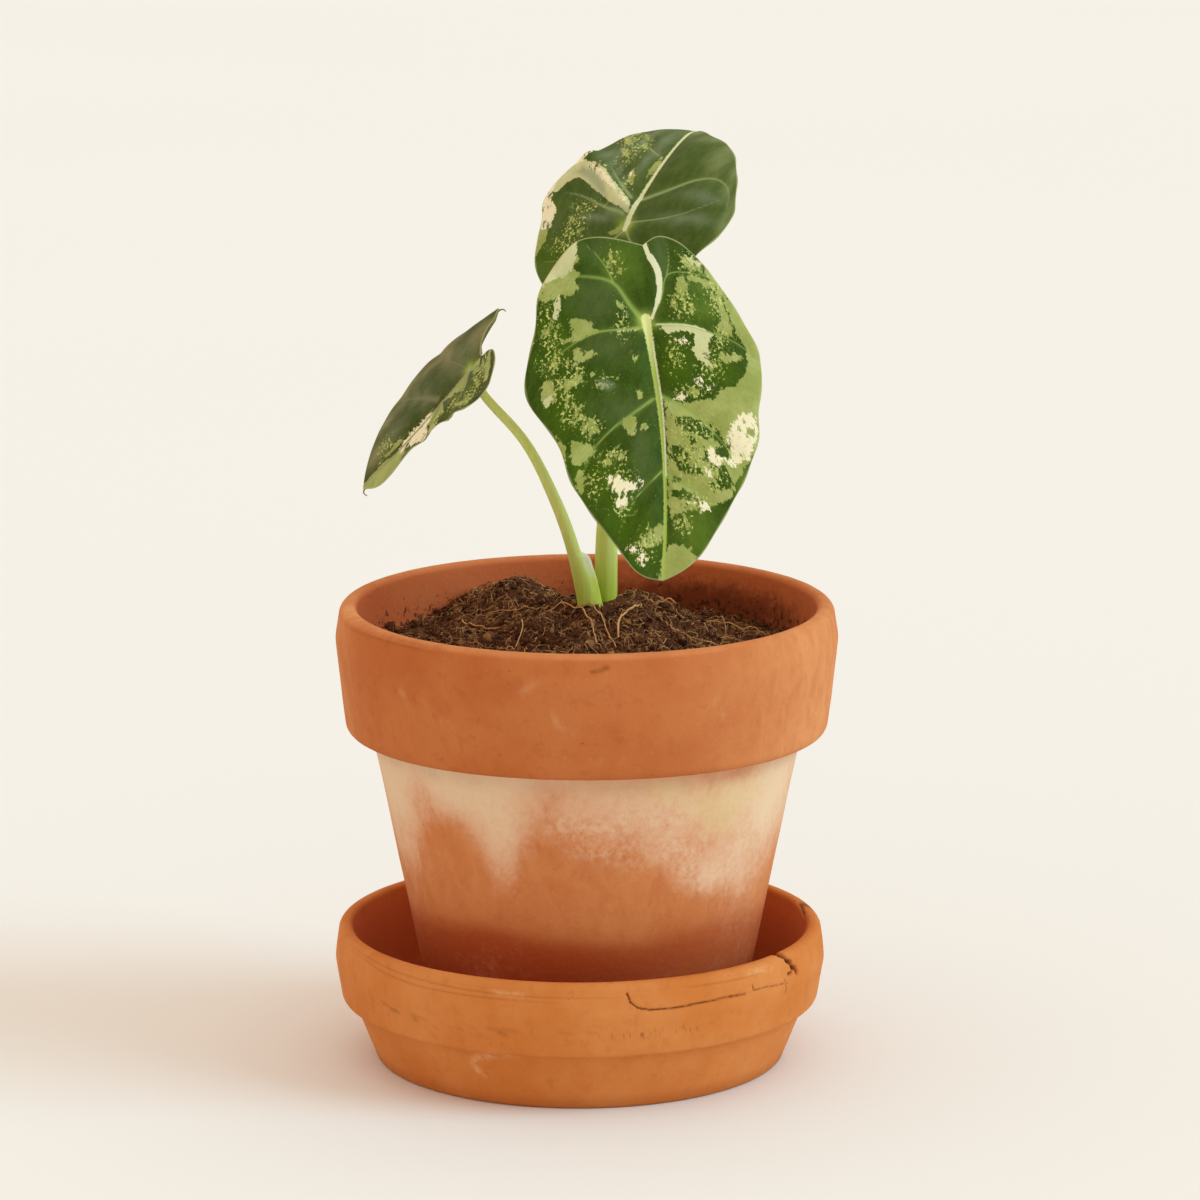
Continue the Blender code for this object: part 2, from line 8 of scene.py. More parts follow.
import bmesh
import bpy
import numpy as np
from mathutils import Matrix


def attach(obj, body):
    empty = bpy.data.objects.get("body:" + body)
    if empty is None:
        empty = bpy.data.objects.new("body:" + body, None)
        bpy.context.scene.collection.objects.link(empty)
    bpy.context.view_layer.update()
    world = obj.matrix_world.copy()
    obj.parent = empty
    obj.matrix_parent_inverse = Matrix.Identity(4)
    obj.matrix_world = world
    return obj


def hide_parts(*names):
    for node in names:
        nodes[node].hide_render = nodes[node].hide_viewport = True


mm = 0.001
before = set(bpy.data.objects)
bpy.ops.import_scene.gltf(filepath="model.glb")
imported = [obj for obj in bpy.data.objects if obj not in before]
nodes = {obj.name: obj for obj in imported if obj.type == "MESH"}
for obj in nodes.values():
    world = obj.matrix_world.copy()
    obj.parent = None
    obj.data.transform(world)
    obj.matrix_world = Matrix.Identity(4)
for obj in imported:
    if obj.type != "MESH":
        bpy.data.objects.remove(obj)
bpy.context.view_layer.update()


def makePiece(name, points, quads, triangles=(), finishes=(), faceFinish=None, fields=None, flat=None,
              weld=True, smooth=True):
    # A mesh from points in mm and faces by corner numbers, with values per point and a flat map
    quads = np.asarray(quads, np.int32).reshape(-1, 4)
    triangles = np.asarray(triangles, np.int32).reshape(-1, 3)
    corners = np.concatenate((quads.ravel(), triangles.ravel()))
    starts = np.concatenate((np.arange(len(quads)) * 4, len(quads) * 4 + np.arange(len(triangles)) * 3))
    mesh = bpy.data.meshes.new(name)
    mesh.vertices.add(len(points))
    mesh.vertices.foreach_set("co", (np.asarray(points) * mm).astype(np.float32).ravel())
    mesh.loops.add(len(corners))
    mesh.loops.foreach_set("vertex_index", corners)
    mesh.polygons.add(len(starts))
    mesh.polygons.foreach_set("loop_start", starts.astype(np.int32))
    for finish in finishes:
        mesh.materials.append(finish)
    if faceFinish is not None:
        mesh.polygons.foreach_set("material_index", np.asarray(faceFinish, np.int32))
    mesh.update(calc_edges=True)
    for key, values in (fields or {}).items():
        mesh.attributes.new(key, "FLOAT", "POINT").data.foreach_set("value", np.asarray(values, np.float32))
    if flat is not None:
        mesh.uv_layers.new(name="flat").data.foreach_set("uv", flat[corners].astype(np.float32).ravel())
    if weld:
        work = bmesh.new()
        work.from_mesh(mesh)
        bmesh.ops.remove_doubles(work, verts=work.verts, dist=0.002 * mm)
        bmesh.ops.recalc_face_normals(work, faces=work.faces)
        work.to_mesh(mesh)
        work.free()
    if smooth:
        mesh.shade_smooth()
    made = bpy.data.objects.new(name, mesh)
    bpy.context.scene.collection.objects.link(made)
    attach(made, "root")
    return made


def gridQuads(rows, columns, closeRows=False, closeColumns=False):
    # Corner numbers of a grid's quads, which may close on itself either way
    row = np.arange(rows if closeRows else rows - 1)[:, None]
    column = np.arange(columns if closeColumns else columns - 1)[None, :]
    nextRow, nextColumn = (row + 1) % rows, (column + 1) % columns
    return np.stack((row * columns + column, row * columns + nextColumn, nextRow * columns + nextColumn,
                     nextRow * columns + column), -1).reshape(-1, 4)


def latticeNoise(x, y, z, seed):
    # Value noise from -1 to 1: random values at whole places, eased between them
    place = np.stack(np.broadcast_arrays(x, y, z), -1)
    corner = np.floor(place)
    part = place - corner
    part = part * part * (3 - 2 * part)
    total = 0
    for cornerX in (0, 1):
        for cornerY in (0, 1):
            for cornerZ in (0, 1):
                spot = corner + (cornerX, cornerY, cornerZ)
                value = np.sin(spot @ (127.1, 311.7, 74.7) + seed * 53.3) * 43758.5453
                weight = (np.where(cornerX, part[..., 0], 1 - part[..., 0])
                          * np.where(cornerY, part[..., 1], 1 - part[..., 1])
                          * np.where(cornerZ, part[..., 2], 1 - part[..., 2]))
                total = total + (value - np.floor(value)) * weight
    return total * 2 - 1


def layeredNoise(x, y, z, size, seed, layers=3):
    # Value noise of the given size, with layers added that are each half as large and half as strong
    total, strength = 0, 1.0
    for layer in range(layers):
        scale = 2 ** layer / size
        total = total + strength * latticeNoise(x * scale, y * scale, z * scale, seed + layer)
        strength *= 0.5
    return total / 1.75  # the strength of three layers together


def cubicCurve(knots, values, at):
    # Natural cubic curve through values at the knots, read at the given places
    knots, values, at = (np.asarray(item, float) for item in (knots, values, at))
    step = np.diff(knots)
    matrix = np.eye(len(knots))
    right = np.zeros_like(values)
    inner = np.arange(1, len(knots) - 1)
    matrix[inner, inner - 1] = step[:-1]
    matrix[inner, inner] = 2 * (step[:-1] + step[1:])
    matrix[inner, inner + 1] = step[1:]
    slope = np.diff(values, axis=0) / step[:, None]
    right[1:-1] = 6 * np.diff(slope, axis=0)
    second = np.linalg.solve(matrix, right)
    i = np.clip(np.searchsorted(knots, at) - 1, 0, len(knots) - 2)
    before = ((knots[i + 1] - at) / step[i])[:, None]
    after = 1 - before
    scale = (step[i] ** 2 / 6)[:, None]
    return (before * values[i] + after * values[i + 1]
            + scale * ((before ** 3 - before) * second[i] + (after ** 3 - after) * second[i + 1]))


def curveAlong(points, at):
    # A smooth curve through points, read at fractions of its length
    points = np.asarray(points, float)
    steps = np.linalg.norm(np.diff(points[:, :3], axis=0), axis=1)
    knots = np.concatenate(([0], np.cumsum(steps)))
    return cubicCurve(knots / knots[-1], points, at)


def lineDistance(x, y, line):
    # Distance of points to a bent line, and how far along it the nearest place is
    line = np.asarray(line, float)
    best, along = np.full(np.shape(x), 1e9), np.zeros(np.shape(x))
    lengths = np.linalg.norm(np.diff(line, axis=0), axis=1)
    total, run = lengths.sum(), 0.0
    for start, end, length in zip(line[:-1], line[1:], lengths):
        step = end - start
        part = np.clip(((x - start[0]) * step[0] + (y - start[1]) * step[1]) / length ** 2, 0, 1)
        away = np.hypot(x - start[0] - part * step[0], y - start[1] - part * step[1])
        along = np.where(away < best, (run + part * length) / total, along)
        best = np.minimum(best, away)
        run += length
    return best, along


def smoothStep(value, low, high):
    # 0 up to low and 1 from high on, with 3 t^2 - 2 t^3 between them
    part = np.clip((value - low) / (high - low), 0, 1)
    return part * part * (3 - 2 * part)


def bell(away, width):
    # A bell curve: e to the power of minus the square of distance over width
    return np.exp(-(away / width) ** 2)


def turnedFrom(angle, middle):
    # How far an angle is from another one the short way round, -180 to 180
    return (angle - middle + 180) % 360 - 180


def unit(vectors):
    # Vectors scaled to a length of 1
    return vectors / np.linalg.norm(vectors, axis=-1)[..., None]


def fullTurn(count):
    # Even angles round the circle, in radians
    return np.arange(count) * 2 * pi / count


def paint(colour):
    # A display colour, 0 to 255, as the linear colour that a shader takes
    part = np.array(colour) / 255
    return (*np.where(part <= 0.04045, part / 12.92, ((part + 0.055) / 1.055) ** 2.4), 1.0)


class Value:
    # A shader's value, place or colour. Each sum, difference or product of values is one Math node.
    def __init__(self, tree, socket):
        self.tree, self.socket = tree, socket

    def calc(self, kind, first, second=0.0):
        return put(self.tree, "Math", {0: first, 1: second}, operation=kind)

    def __add__(self, other):
        return self.calc("ADD", self, other)

    def __sub__(self, other):
        return self.calc("SUBTRACT", self, other)

    def __rsub__(self, other):
        return self.calc("SUBTRACT", other, self)

    def __mul__(self, other):
        return self.calc("MULTIPLY", self, other)

    def __abs__(self):
        return self.calc("ABSOLUTE", self)


def put(tree, kind, values=None, output=0, **settings):
    # A shader node whose inputs are set, or linked where a value of the tree is given
    made = tree.nodes.new("ShaderNode" + kind)
    for key, setting in settings.items():
        setattr(made, key, setting)
    for key, value in (values or {}).items():
        if isinstance(value, Value):
            tree.links.new(value.socket, made.inputs[key])
        else:
            made.inputs[key].default_value = value
    return Value(tree, made.outputs[output])


def axes(place):
    # The x, y and z of a place, each as a value
    split = put(place.tree, "SeparateXYZ", {0: place}).socket.node
    return [Value(place.tree, output) for output in split.outputs]


def grain(place, size, detail=3.0, roughness=0.55, distortion=0.0):
    # Layered noise about 0.5, with the given size in mm
    return put(place.tree, "TexNoise", {"Vector": place, "Scale": 1 / size, "Detail": detail,
                                        "Roughness": roughness, "Distortion": distortion})


def level(value, low, high, start=0.0, end=1.0):
    # Start up to low and end from high on, with an eased step between them
    return put(value.tree, "MapRange", {0: value, 1: low, 2: high, 3: start, 4: end},
               interpolation_type="SMOOTHSTEP")


class Finish:
    # A material built up in coats of colour. Numbers that are the same all over are set on the
    # shader's own sockets.
    def __init__(self, name, roughness, specular, subsurface=0.0, reach=(1, 1, 1), depth=1.0):
        self.made = bpy.data.materials.new(name)
        self.made.use_nodes = True
        self.tree = self.made.node_tree
        self.shader = self.tree.nodes["Principled BSDF"]
        self.colour = None
        for key, number in (("Roughness", roughness), ("Specular IOR Level", specular),
                            ("Subsurface Weight", subsurface), ("Subsurface Radius", reach),
                            ("Subsurface Scale", depth * mm)):
            self.shader.inputs[key].default_value = number

    def place(self, stretch=(1, 1, 1)):
        # Object coordinates in millimetres
        place = put(self.tree, "TexCoord", output="Object")
        return put(self.tree, "Mapping", {"Vector": place, "Scale": [part / mm for part in stretch]})

    def field(self, name):
        # A value that the mesh has at each point
        return put(self.tree, "Attribute", output="Fac", attribute_name=name)

    def mix(self, amount, first, second):
        # The first times 1 - amount, plus the second times amount; tuples are display colours
        first, second = (paint(colour) if isinstance(colour, tuple) else colour
                         for colour in (first, second))
        return put(self.tree, "Mix", {0: amount, 6: first, 7: second}, output=2, data_type="RGBA")

    def coat(self, amount, colour):
        # Covers the colour so far by an amount from 0 to 1
        self.colour = self.mix(amount, self.colour, colour)

    def done(self, height=None, depth=0.0, roughness=None):
        # Links the colour, and the height as a fine relief of the given depth in mm
        links = {"Base Color": self.colour, "Roughness": roughness}
        if height:
            links["Normal"] = put(self.tree, "Bump", {"Height": height, "Distance": depth * mm,
                                                      "Strength": 1.0})
        for key, value in links.items():
            if value:
                self.tree.links.new(value.socket, self.shader.inputs[key])
        return self.made


potLook = {
    "clay": (188, 103, 54), "paleClay": (200, 120, 68), "darkClay": (156, 76, 38), "speck": (226, 184, 140),
    "bloom": (234, 208, 174), "pinkBloom": (222, 164, 128), "crust": (236, 212, 184),
    "inner": (220, 112, 70), "stain": (222, 198, 142), "damp": (172, 78, 38), "innerShade": (120, 56, 30),
    "dry": (224, 152, 98), "soilDust": (62, 34, 20), "shadeAndDirt": (134, 78, 30), "scuff": (226, 176, 132),
    "roughness": 0.88, "dryRoughness": 0.92, "dampRoughness": 0.72,
}
saucerLook = {
    "clay": (204, 120, 56), "paleClay": (216, 140, 78), "darkClay": (172, 92, 42), "speck": (226, 184, 140),
    "inner": (206, 112, 66), "crack": (84, 34, 16), "scuff": (232, 182, 130), "foot": (160, 84, 40),
    "roughness": 0.84,
}


def clayCoats(clay, place, look):
    # Plain fired clay: slow clouds, fine mottling, and sparse dark and pale specks
    clouds = grain(place, 22.0, 5.0, 0.6)
    clay.colour = clay.mix(level(clouds, 0.35, 0.7, 0.0, 0.8), look["clay"], look["paleClay"])
    clay.coat(level(grain(place, 3.2, 6.0, 0.65), 0.5, 0.75, 0.0, 0.3), look["darkClay"])
    clay.coat(level(grain(place, 0.75, 2.0, 0.5), 0.72, 0.77, 0.0, 0.7), look["darkClay"])
    clay.coat(level(grain(place, 0.5, 1.0, 0.5, 0.4), 0.76, 0.81, 0.0, 0.4), look["speck"])


def potFinish():
    # Clay with dry zones, which also carry painted light on the rim's right end and a painted highlight on
    # the lip's edge, and damp zones, then mineral bloom, pinkish where it is thin, stains and crusts
    look = potLook
    pot = Finish("firedClay", look["roughness"], 0.12)
    place = pot.place()
    clayCoats(pot, place, look)
    fine = grain(place, 1.6, 6.0, 0.72)
    broken = grain(pot.place((1, 1, 0.6)), 5.0, 8.0, 0.68, 0.4)
    shift = (broken - 0.5) * 0.6 + (fine - 0.5) * 0.7
    # Dry clay, with painted light on the rim's right end and a painted highlight on the lip's edge
    pot.coat(pot.field("dry") * level(broken, 0.3, 0.7, 0.4, 0.9), look["dry"])
    damp = level(pot.field("damp") + shift * 0.3, 0.1, 0.95)
    pot.coat(damp, look["damp"])
    bloom = pot.field("bloom") + shift
    pot.coat(level(bloom, -0.05, 0.62, 0.0, 0.7), look["pinkBloom"])
    pot.coat(level(bloom, 0.2, 1.2, 0.0, 0.85), look["bloom"])
    pot.coat(level(pot.field("stain") + shift * 0.8, 0.1, 0.9, 0.0, 0.45), look["stain"])
    pot.coat(pot.field("crust") * level(fine, 0.35, 0.75, 0.0, 0.4), look["crust"])

    # The inner wall: redder clay, painted shade to the right, where the rim keeps the key light off, with a
    # dust of soil near the soil's edge
    inside = pot.field("inside")
    pot.coat(inside * 0.55, look["inner"])
    pot.coat(level(pot.field("innerShade") + shift * 1.4, 0.1, 0.9, 0.0, 0.9), look["innerShade"])
    dust = grain(place, 1.7, 5.0, 0.75) + level(axes(place)[2], 89.0, 100.5, 0.09, -0.08)
    pot.coat(inside * level(dust, 0.58, 0.63) * 0.85, look["soilDust"])

    # Painted shade, patchy like dirt, in the corner under the rim and in the marks, and pale scuffs
    pot.coat(pot.field("shadeAndDirt") * level(fine, 0.3, 0.6, 0.35, 1.0), look["shadeAndDirt"])
    pot.coat(pot.field("scuff") * level(broken, 0.40, 0.66, 0.0, 0.32), look["scuff"])
    return pot.done(fine + grain(place, 0.5, 3.0, 0.6) * 0.5, 0.16,
                    level(damp, 0.0, 1.0, look["dryRoughness"], look["dampRoughness"]))


def saucerFinish():
    # Clay with a redder inside, pale scuffs, painted shade on the foot next to the floor, and painted shade
    # in the cracks
    look = saucerLook
    saucer = Finish("saucerClay", look["roughness"], 0.12)
    place = saucer.place()
    clayCoats(saucer, place, look)
    saucer.coat(level(saucer.field("inside"), 0.0, 1.0, 0.0, 0.8), look["inner"])
    broken = level(grain(place, 2.0, 6.0, 0.7), 0.40, 0.62, 0.05, 0.5)
    saucer.coat(saucer.field("scuff") * broken, look["scuff"])
    # Painted shade: darker towards the floor, where the saucer meets it
    saucer.coat(level(axes(place)[2], 4.0, 0.5, 0.0, 0.35), look["foot"])
    # Painted shade in the cracks, pits and creases
    saucer.coat(saucer.field("shadeAndDirt"), look["crack"])
    return saucer.done(grain(place, 1.2, 5.0, 0.65) + grain(place, 0.45, 2.0, 0.6) * 0.4, 0.12)


def roundedProfile(corners, steps):
    # Profile (r, z) from corners (r, z, fillet): each fillet is an arc that touches both sides
    profile = []
    for i, (r, z, fillet) in enumerate(corners):
        here = np.array((r, z))
        if fillet == 0:
            profile.append(here)
            continue
        before = unit(np.array(corners[i - 1][:2]) - here)
        after = unit(np.array(corners[(i + 1) % len(corners)][:2]) - here)
        half = np.arccos(np.clip(before @ after, -1, 1)) / 2
        centre = here + unit(before + after) * fillet / sin(half)
        start = here + before * fillet / np.tan(half) - centre
        end = here + after * fillet / np.tan(half) - centre
        spokes = [start * (1 - k / steps) + end * k / steps for k in range(steps + 1)]
        profile += [centre + unit(spoke) * fillet for spoke in spokes]
    return np.array(profile)


def splitProfile(profile, spacing, closed):
    # Adds points on the long runs, with spacing(r, z) as the largest step
    points = []
    count = len(profile)
    for i in range(count if closed else count - 1):
        start, end = profile[i], profile[(i + 1) % count]
        middle = (start + end) / 2
        pieces = max(1, int(np.ceil(np.linalg.norm(end - start) / spacing(*middle))))
        points += [start + (end - start) * k / pieces for k in range(pieces)]
    if not closed:
        points.append(profile[-1])
    return np.array(points)


def turnsWithFocus(count, focusFrom, focusTo, share):
    # Angles round the circle, with a share of them between two angles
    inside = int(count * share)
    focus = np.linspace(focusFrom, focusTo, inside, endpoint=False)
    rest = np.linspace(focusTo, focusFrom + 360, count - inside, endpoint=False)
    return np.radians(np.concatenate((focus, rest)))


def turnedPiece(name, profile, turns, centreX, closed, relief, lip, tones, finish):
    # A profile turned round an axis. Each point moves along the profile's outward normal by relief,
    # and up by lip; these and the tones, which the finish reads, are functions of its place.
    step = np.roll(profile, -1, 0) - np.roll(profile, 1, 0)
    if not closed:
        step[0], step[-1] = (1, 0), (-1, 0)
    step = unit(step)
    r, z, outward, upward, angle = np.broadcast_arrays(
        profile[:, :1], profile[:, 1:], step[:, 1:], -step[:, :1], np.degrees(turns)[None])
    across, deep = np.cos(turns), np.sin(turns)
    place = SimpleNamespace(angle=angle, r=r, z=z, x=r * across, y=r * deep, outward=outward)
    move = relief(place)
    newR = np.maximum(r + move * outward, 0)
    newZ = z + move * upward + lip(place)
    points = np.stack((centreX + newR * across, newR * deep, newZ), -1).reshape(-1, 3)
    return makePiece(name, points, gridQuads(*r.shape, closed, True)[:, ::-1], finishes=[finish],
                     fields={key: tone(place).ravel() for key, tone in tones.items()})


def wallDistance(place, radius, line):
    # Distance in mm on a wall of the given radius to a line of (angle, z), and how far along it is
    line = np.array(line, float) * (radians(1) * radius, 1)
    return lineDistance(turnedFrom(place.angle, 0) * radians(1) * radius, place.z, line)


def wallMarks(place, radius, lines, width, fading=0.0):
    # Sum of bell curves across lines of (angle, z), each times a power of a half sine along it
    total = 0
    for line in lines:
        away, along = wallDistance(place, radius, line)
        total = total + bell(away, width) * np.sin(pi * np.clip(along, 0, 1)) ** fading
    return total


potShape = {
    "profile": (
        (6.0, 6.3, 0), (33.6, 6.3, 1.5), (47.3, 73.8, 0.6), (52.6, 73.4, 2.2), (53.6, 81.0, 0),
        (55.0, 94.5, 8.0), (53.9, 102.0, 2.2), (50.4, 102.0, 1.4), (49.4, 92.0, 0), (45.0, 76.0, 0),
        (42.4, 69.0, 0), (30.4, 12.3, 3.0), (6.0, 12.3, 0),
    ),
    "columns": 440, "frontShare": 0.62, "coarse": 2.6, "middling": 1.3, "fine": 0.5,
    "rimRadius": 54, "bodyRadius": 42,  # of the walls that carry the marks
    "waver": 0.16,  # how far the hand-trimmed clay is out of true
    # Marks as lines of (angle, z): creases below the lip, a dent, and pale scuffs
    "creases": (((-172, 99.4), (-164.6, 100.0), (-153.8, 100.3), (-136.9, 100.6), (-122.4, 100.3)),
                ((-150, 101.3), (-136, 101.5), (-122, 101.2))),
    "dent": ((-88.6, 98.2), (-87.0, 98.6), (-85.6, 99.4)),
    "scuffs": (((-99, 91.5), (-97, 87), (-92.5, 84)), ((-95, 79.2), (-90, 78.2), (-82.4, 78.6)),
               ((-121, 84), (-126, 85), (-129, 88)), ((-104, 93), (-101, 95.5)), ((-60, 90), (-57, 84)),
               ((-136, 90), (-133, 86)), ((40, 92), (52, 84)), ((120, 86), (133, 90))),
    # Zones on the body as (angle, z, reach in angle, reach in z, strength)
    "bare": ((-131, 53, 12, 9, 1.0), (-96, 51, 13, 9, 1.1), (-79, 47, 12, 6, .8), (-141, 67, 6, 6, .4),
             (-47, 71.5, 8, 2.5, .5), (-85, 58, 20, 5, .2), (-98, 68, 12, 5, .2), (-60, 38, 20, 5, .4),
             (-135, 40, 16, 6, .5), (15, 52, 14, 12, 1.0), (60, 48, 16, 10, 1.0), (110, 56, 12, 12, 1.1),
             (150, 47, 14, 9, .9)),
    "white": ((-160, 60, 12, 14, .4), (-148, 70, 18, 4, .35), (-128, 67, 10, 6, .25), (-36, 46, 9, 7, .3),
              (-114, 58, 8, 12, .55), (-28, 62, 12, 12, .45), (-51, 49, 10, 5, .45), (-70, 56, 10, 5, .2),
              (35, 66, 14, 10, .4), (-112, 72, 18, 3, .3)),
    "stain": ((-69, 69.5, 6, 3.5, .9), (-57, 66, 7, 4, .8), (-48, 64, 7, 5, .7), (-51, 60, 7, 4, .5),
              (-37, 67.5, 8, 5, .6), (-82, 72.3, 8, 1.4, .5), (-128, 72.6, 14, 1.0, .5)),
    # Crusts of mineral along lines of (angle, z)
    "crusts": (((-96, 62), (-86, 62.8), (-74, 63.6), (-61, 63.2)), ((-95, 57.2), (-86, 55.5), (-76, 53.7)),
               ((-60, 50), (-52, 47), (-46, 49), (-40, 54)), ((-66, 57), (-58, 54)),
               ((20, 60), (38, 58), (50, 61)), ((100, 50), (118, 47))),
}


def potPiece():
    # The pot's profile, turned, with its marks as relief and its zones as fields for the finish
    shape, rim = potShape, potShape["rimRadius"]

    def spacing(r, z):
        # The finest steps at the lip and under the rim, middling ones on the rest of the rim
        if r > 46 and (z > 96 or 69.5 < z < 74.5):
            return shape["fine"]
        return shape["middling"] if r > 44 and z > 71 else shape["coarse"]

    def relief(place):
        # Slow waver and fine grain, less the creases and the dent
        x, y, z = place.x, place.y, place.z
        return (shape["waver"] * layeredNoise(x, y, 2.5 * z, 38.0, 3, 2)
                + 0.035 * layeredNoise(x, y, 2 * z, 3.0, 5, 2)
                - 0.16 * wallMarks(place, rim, shape["creases"], 0.25, 0.5) * (place.r > 51)
                - 0.5 * wallMarks(place, rim + 0.5, [shape["dent"]], 0.5) * (place.r > 53))

    def lip(place):
        # The rim's top runs down a little to the front, as if it was trimmed by hand
        return smoothStep(place.z, 93, 101.5) * (0.75 * np.sin(np.radians(place.angle)) - 0.4)

    def shadeAndDirt(place):
        # Painted shade with dirt: in the creases and the dent, and patchy in the corner under the rim,
        # which the rim shades
        marks = (0.4 * wallMarks(place, rim, shape["creases"], 0.22, 1.0)
                 + 0.9 * wallMarks(place, rim + 0.5, [shape["dent"]], 0.4))
        patchy = smoothStep(layeredNoise(place.x, place.y, 2 * place.z, 3.0, 79, 3), -0.4, 0.35)
        corner = (0.3 + 0.5 * patchy) * bell(place.z - 71.9, 0.9) * (place.r > 46) * (place.r < 53)
        return np.clip(marks * (place.r > 51) + corner, 0, 1)

    def zones(place, key):
        # Sum of round bell curves, each with its own reach in angle and in z
        return sum(strength * bell(turnedFrom(place.angle, middle), wide) * bell(place.z - z, high)
                   for middle, z, wide, high, strength in shape[key])

    def body(place):
        # 1 on the outer wall below the rim, 0 elsewhere
        return (place.z < 73.6) * (place.outward > 0) * (place.r > 33.7)

    def bloom(place):
        # More towards the rim, in clouds, with whiter and bare zones
        z = place.z
        clouds = layeredNoise(place.x, place.y, 0.8 * z, 15.0, 71, 3)
        value = (0.68 * smoothStep(z, 37, 66) + 0.16 * smoothStep(z, 60, 74) + 0.24 * clouds
                 + zones(place, "white") - 0.8 * zones(place, "bare"))
        return np.where(body(place), value, -1)

    def damp(place):
        # Up to a cloudy line near the foot, most at the front left
        clouds = layeredNoise(place.x, place.y, 0.5 * place.z, 22.0, 75, 2)
        value = smoothStep(-place.z, -(41.5 + 4 * clouds), -(32 + 3 * clouds))
        return value * (0.5 + 0.5 * bell(turnedFrom(place.angle, -110), 48)) * body(place)

    def dry(place):
        # Painted light on the rim's right end, where the key light falls, a painted highlight on the lip's
        # edge, paler clay at the rim's left end, and dry clay on the body's upper part
        rimEnds = [bell(turnedFrom(place.angle, middle), reach) * (place.r > 50.5)
                   for middle, reach in ((-22, 34), (-172, 16))]
        return np.maximum(rimEnds[0], 0.6 * smoothStep(place.z, 30, 44) * body(place)
                          + 0.6 * smoothStep(place.z, 100.6, 101.6) + 0.7 * rimEnds[1])

    def innerShade(place):
        # Painted shade on the inner wall's right side, from the soil upwards
        return (bell(turnedFrom(place.angle, 55), 42) * smoothStep(-place.z, -102, -93)
                * (place.r < 50.5) * (place.z > 60) * (place.outward < 0))

    tones = {
        "bloom": bloom, "damp": damp, "shadeAndDirt": shadeAndDirt, "dry": dry, "innerShade": innerShade,
        "stain": lambda place: zones(place, "stain") * body(place),
        "scuff": lambda place: np.clip(wallMarks(place, rim, shape["scuffs"], 0.9), 0, 1) * (place.r > 52),
        "crust": lambda place: np.clip(wallMarks(place, shape["bodyRadius"], shape["crusts"], 2.2),
                                       0, 1) * body(place),
        "inside": lambda place: smoothStep(-place.outward, 0.2, 0.9) * (place.z > 60),
    }
    profile = splitProfile(roundedProfile(shape["profile"], 6), spacing, True)
    turns = turnsWithFocus(shape["columns"], -180, 0, shape["frontShare"])
    made = turnedPiece("potClay", profile, turns, 0.0, True, relief, lip, tones, potFinish())
    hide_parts("pot")


saucerShape = {
    "profile": (
        (0, 0, 0), (45.0, 0, 1.2), (50.2, 13.2, 0.5), (52.6, 13.4, 1.2), (54.1, 22.5, 6.0),
        (53.2, 31.0, 1.6), (50.4, 31.0, 1.2), (46.2, 13.5, 0), (43.6, 6.0, 4.0), (0, 6.0, 0),
    ),
    "centreX": -1.6, "columns": 480, "focus": (-86, -24), "focusShare": 0.6,
    "coarse": 2.6, "fine": 0.3, "radius": 53.9, "footRadius": 50,  # of the walls that carry the marks
    # Cracks: depth and width of the groove, strength and width of the painted shade along it, and a line
    # of (angle, z). The first is the edge of a flake of the lip that has come loose
    "cracks": (
        (0.42, 0.2, 0.85, 0.17, ((-79.0, 28.6), (-78.3, 25.9), (-76.6, 24.5), (-74.0, 24.0), (-69.0, 23.8),
                                 (-61.5, 24.2), (-54.8, 24.4), (-48.9, 24.3))),
        (0.3, 0.16, 0.6, 0.13, ((-46.5, 25.9), (-46.2, 24.6), (-42.0, 24.5), (-38.7, 24.1), (-33.4, 23.7))),
        (1.8, 0.46, 1.0, 0.46, ((-34.6, 31.2), (-33.3, 30.7), (-32.8, 29.4), (-31.2, 28.4), (-30.9, 27.0),
                                (-29.6, 26.2), (-28.9, 25.0))),
        (1.0, 0.3, 1.0, 0.3, ((-30.4, 26.6), (-31.6, 25.5), (-32.8, 25.4))),
        (0.3, 0.14, 0.5, 0.12, ((-34.6, 24.5), (-34.1, 22.6), (-34.4, 21.4))),
        (0.4, 0.2, 0.8, 0.2, ((15, 31.0), (7, 30.3), (1, 29.2), (-4, 27.2), (-7.5, 25.0))),
    ),
    "creases": (((-158, 29.4), (-150, 28.7), (-141, 27.2), (-130.7, 26.4), (-112, 26.2), (-94, 26.0)),
                ((-163, 30.2), (-150, 29.9), (-138, 28.9), (-120, 28.0), (-100, 27.5), (-80, 27.4)),
                ((-66, 28.8), (-54, 28.6), (-42, 28.4)), ((100, 27.0), (120, 26.2), (140, 27.4))),
    # Row of pits along the wall, and pale scuffs, as lines of (angle, z)
    "pits": ((-150, 20.4), (-137, 19.2), (-125, 18.3), (-110, 18.6), (-80, 18.5), (-64, 18.8), (-50, 18.6)),
    "scuffs": (((-106, 13.0), (-111, 12.6), (-116, 11.4), (-118, 9.4), (-116, 7.2)),
               ((-109, 28.2), (-103, 28.0)), ((-47, 29.5), (-40, 29.0)), ((60, 20), (72, 24))),
}


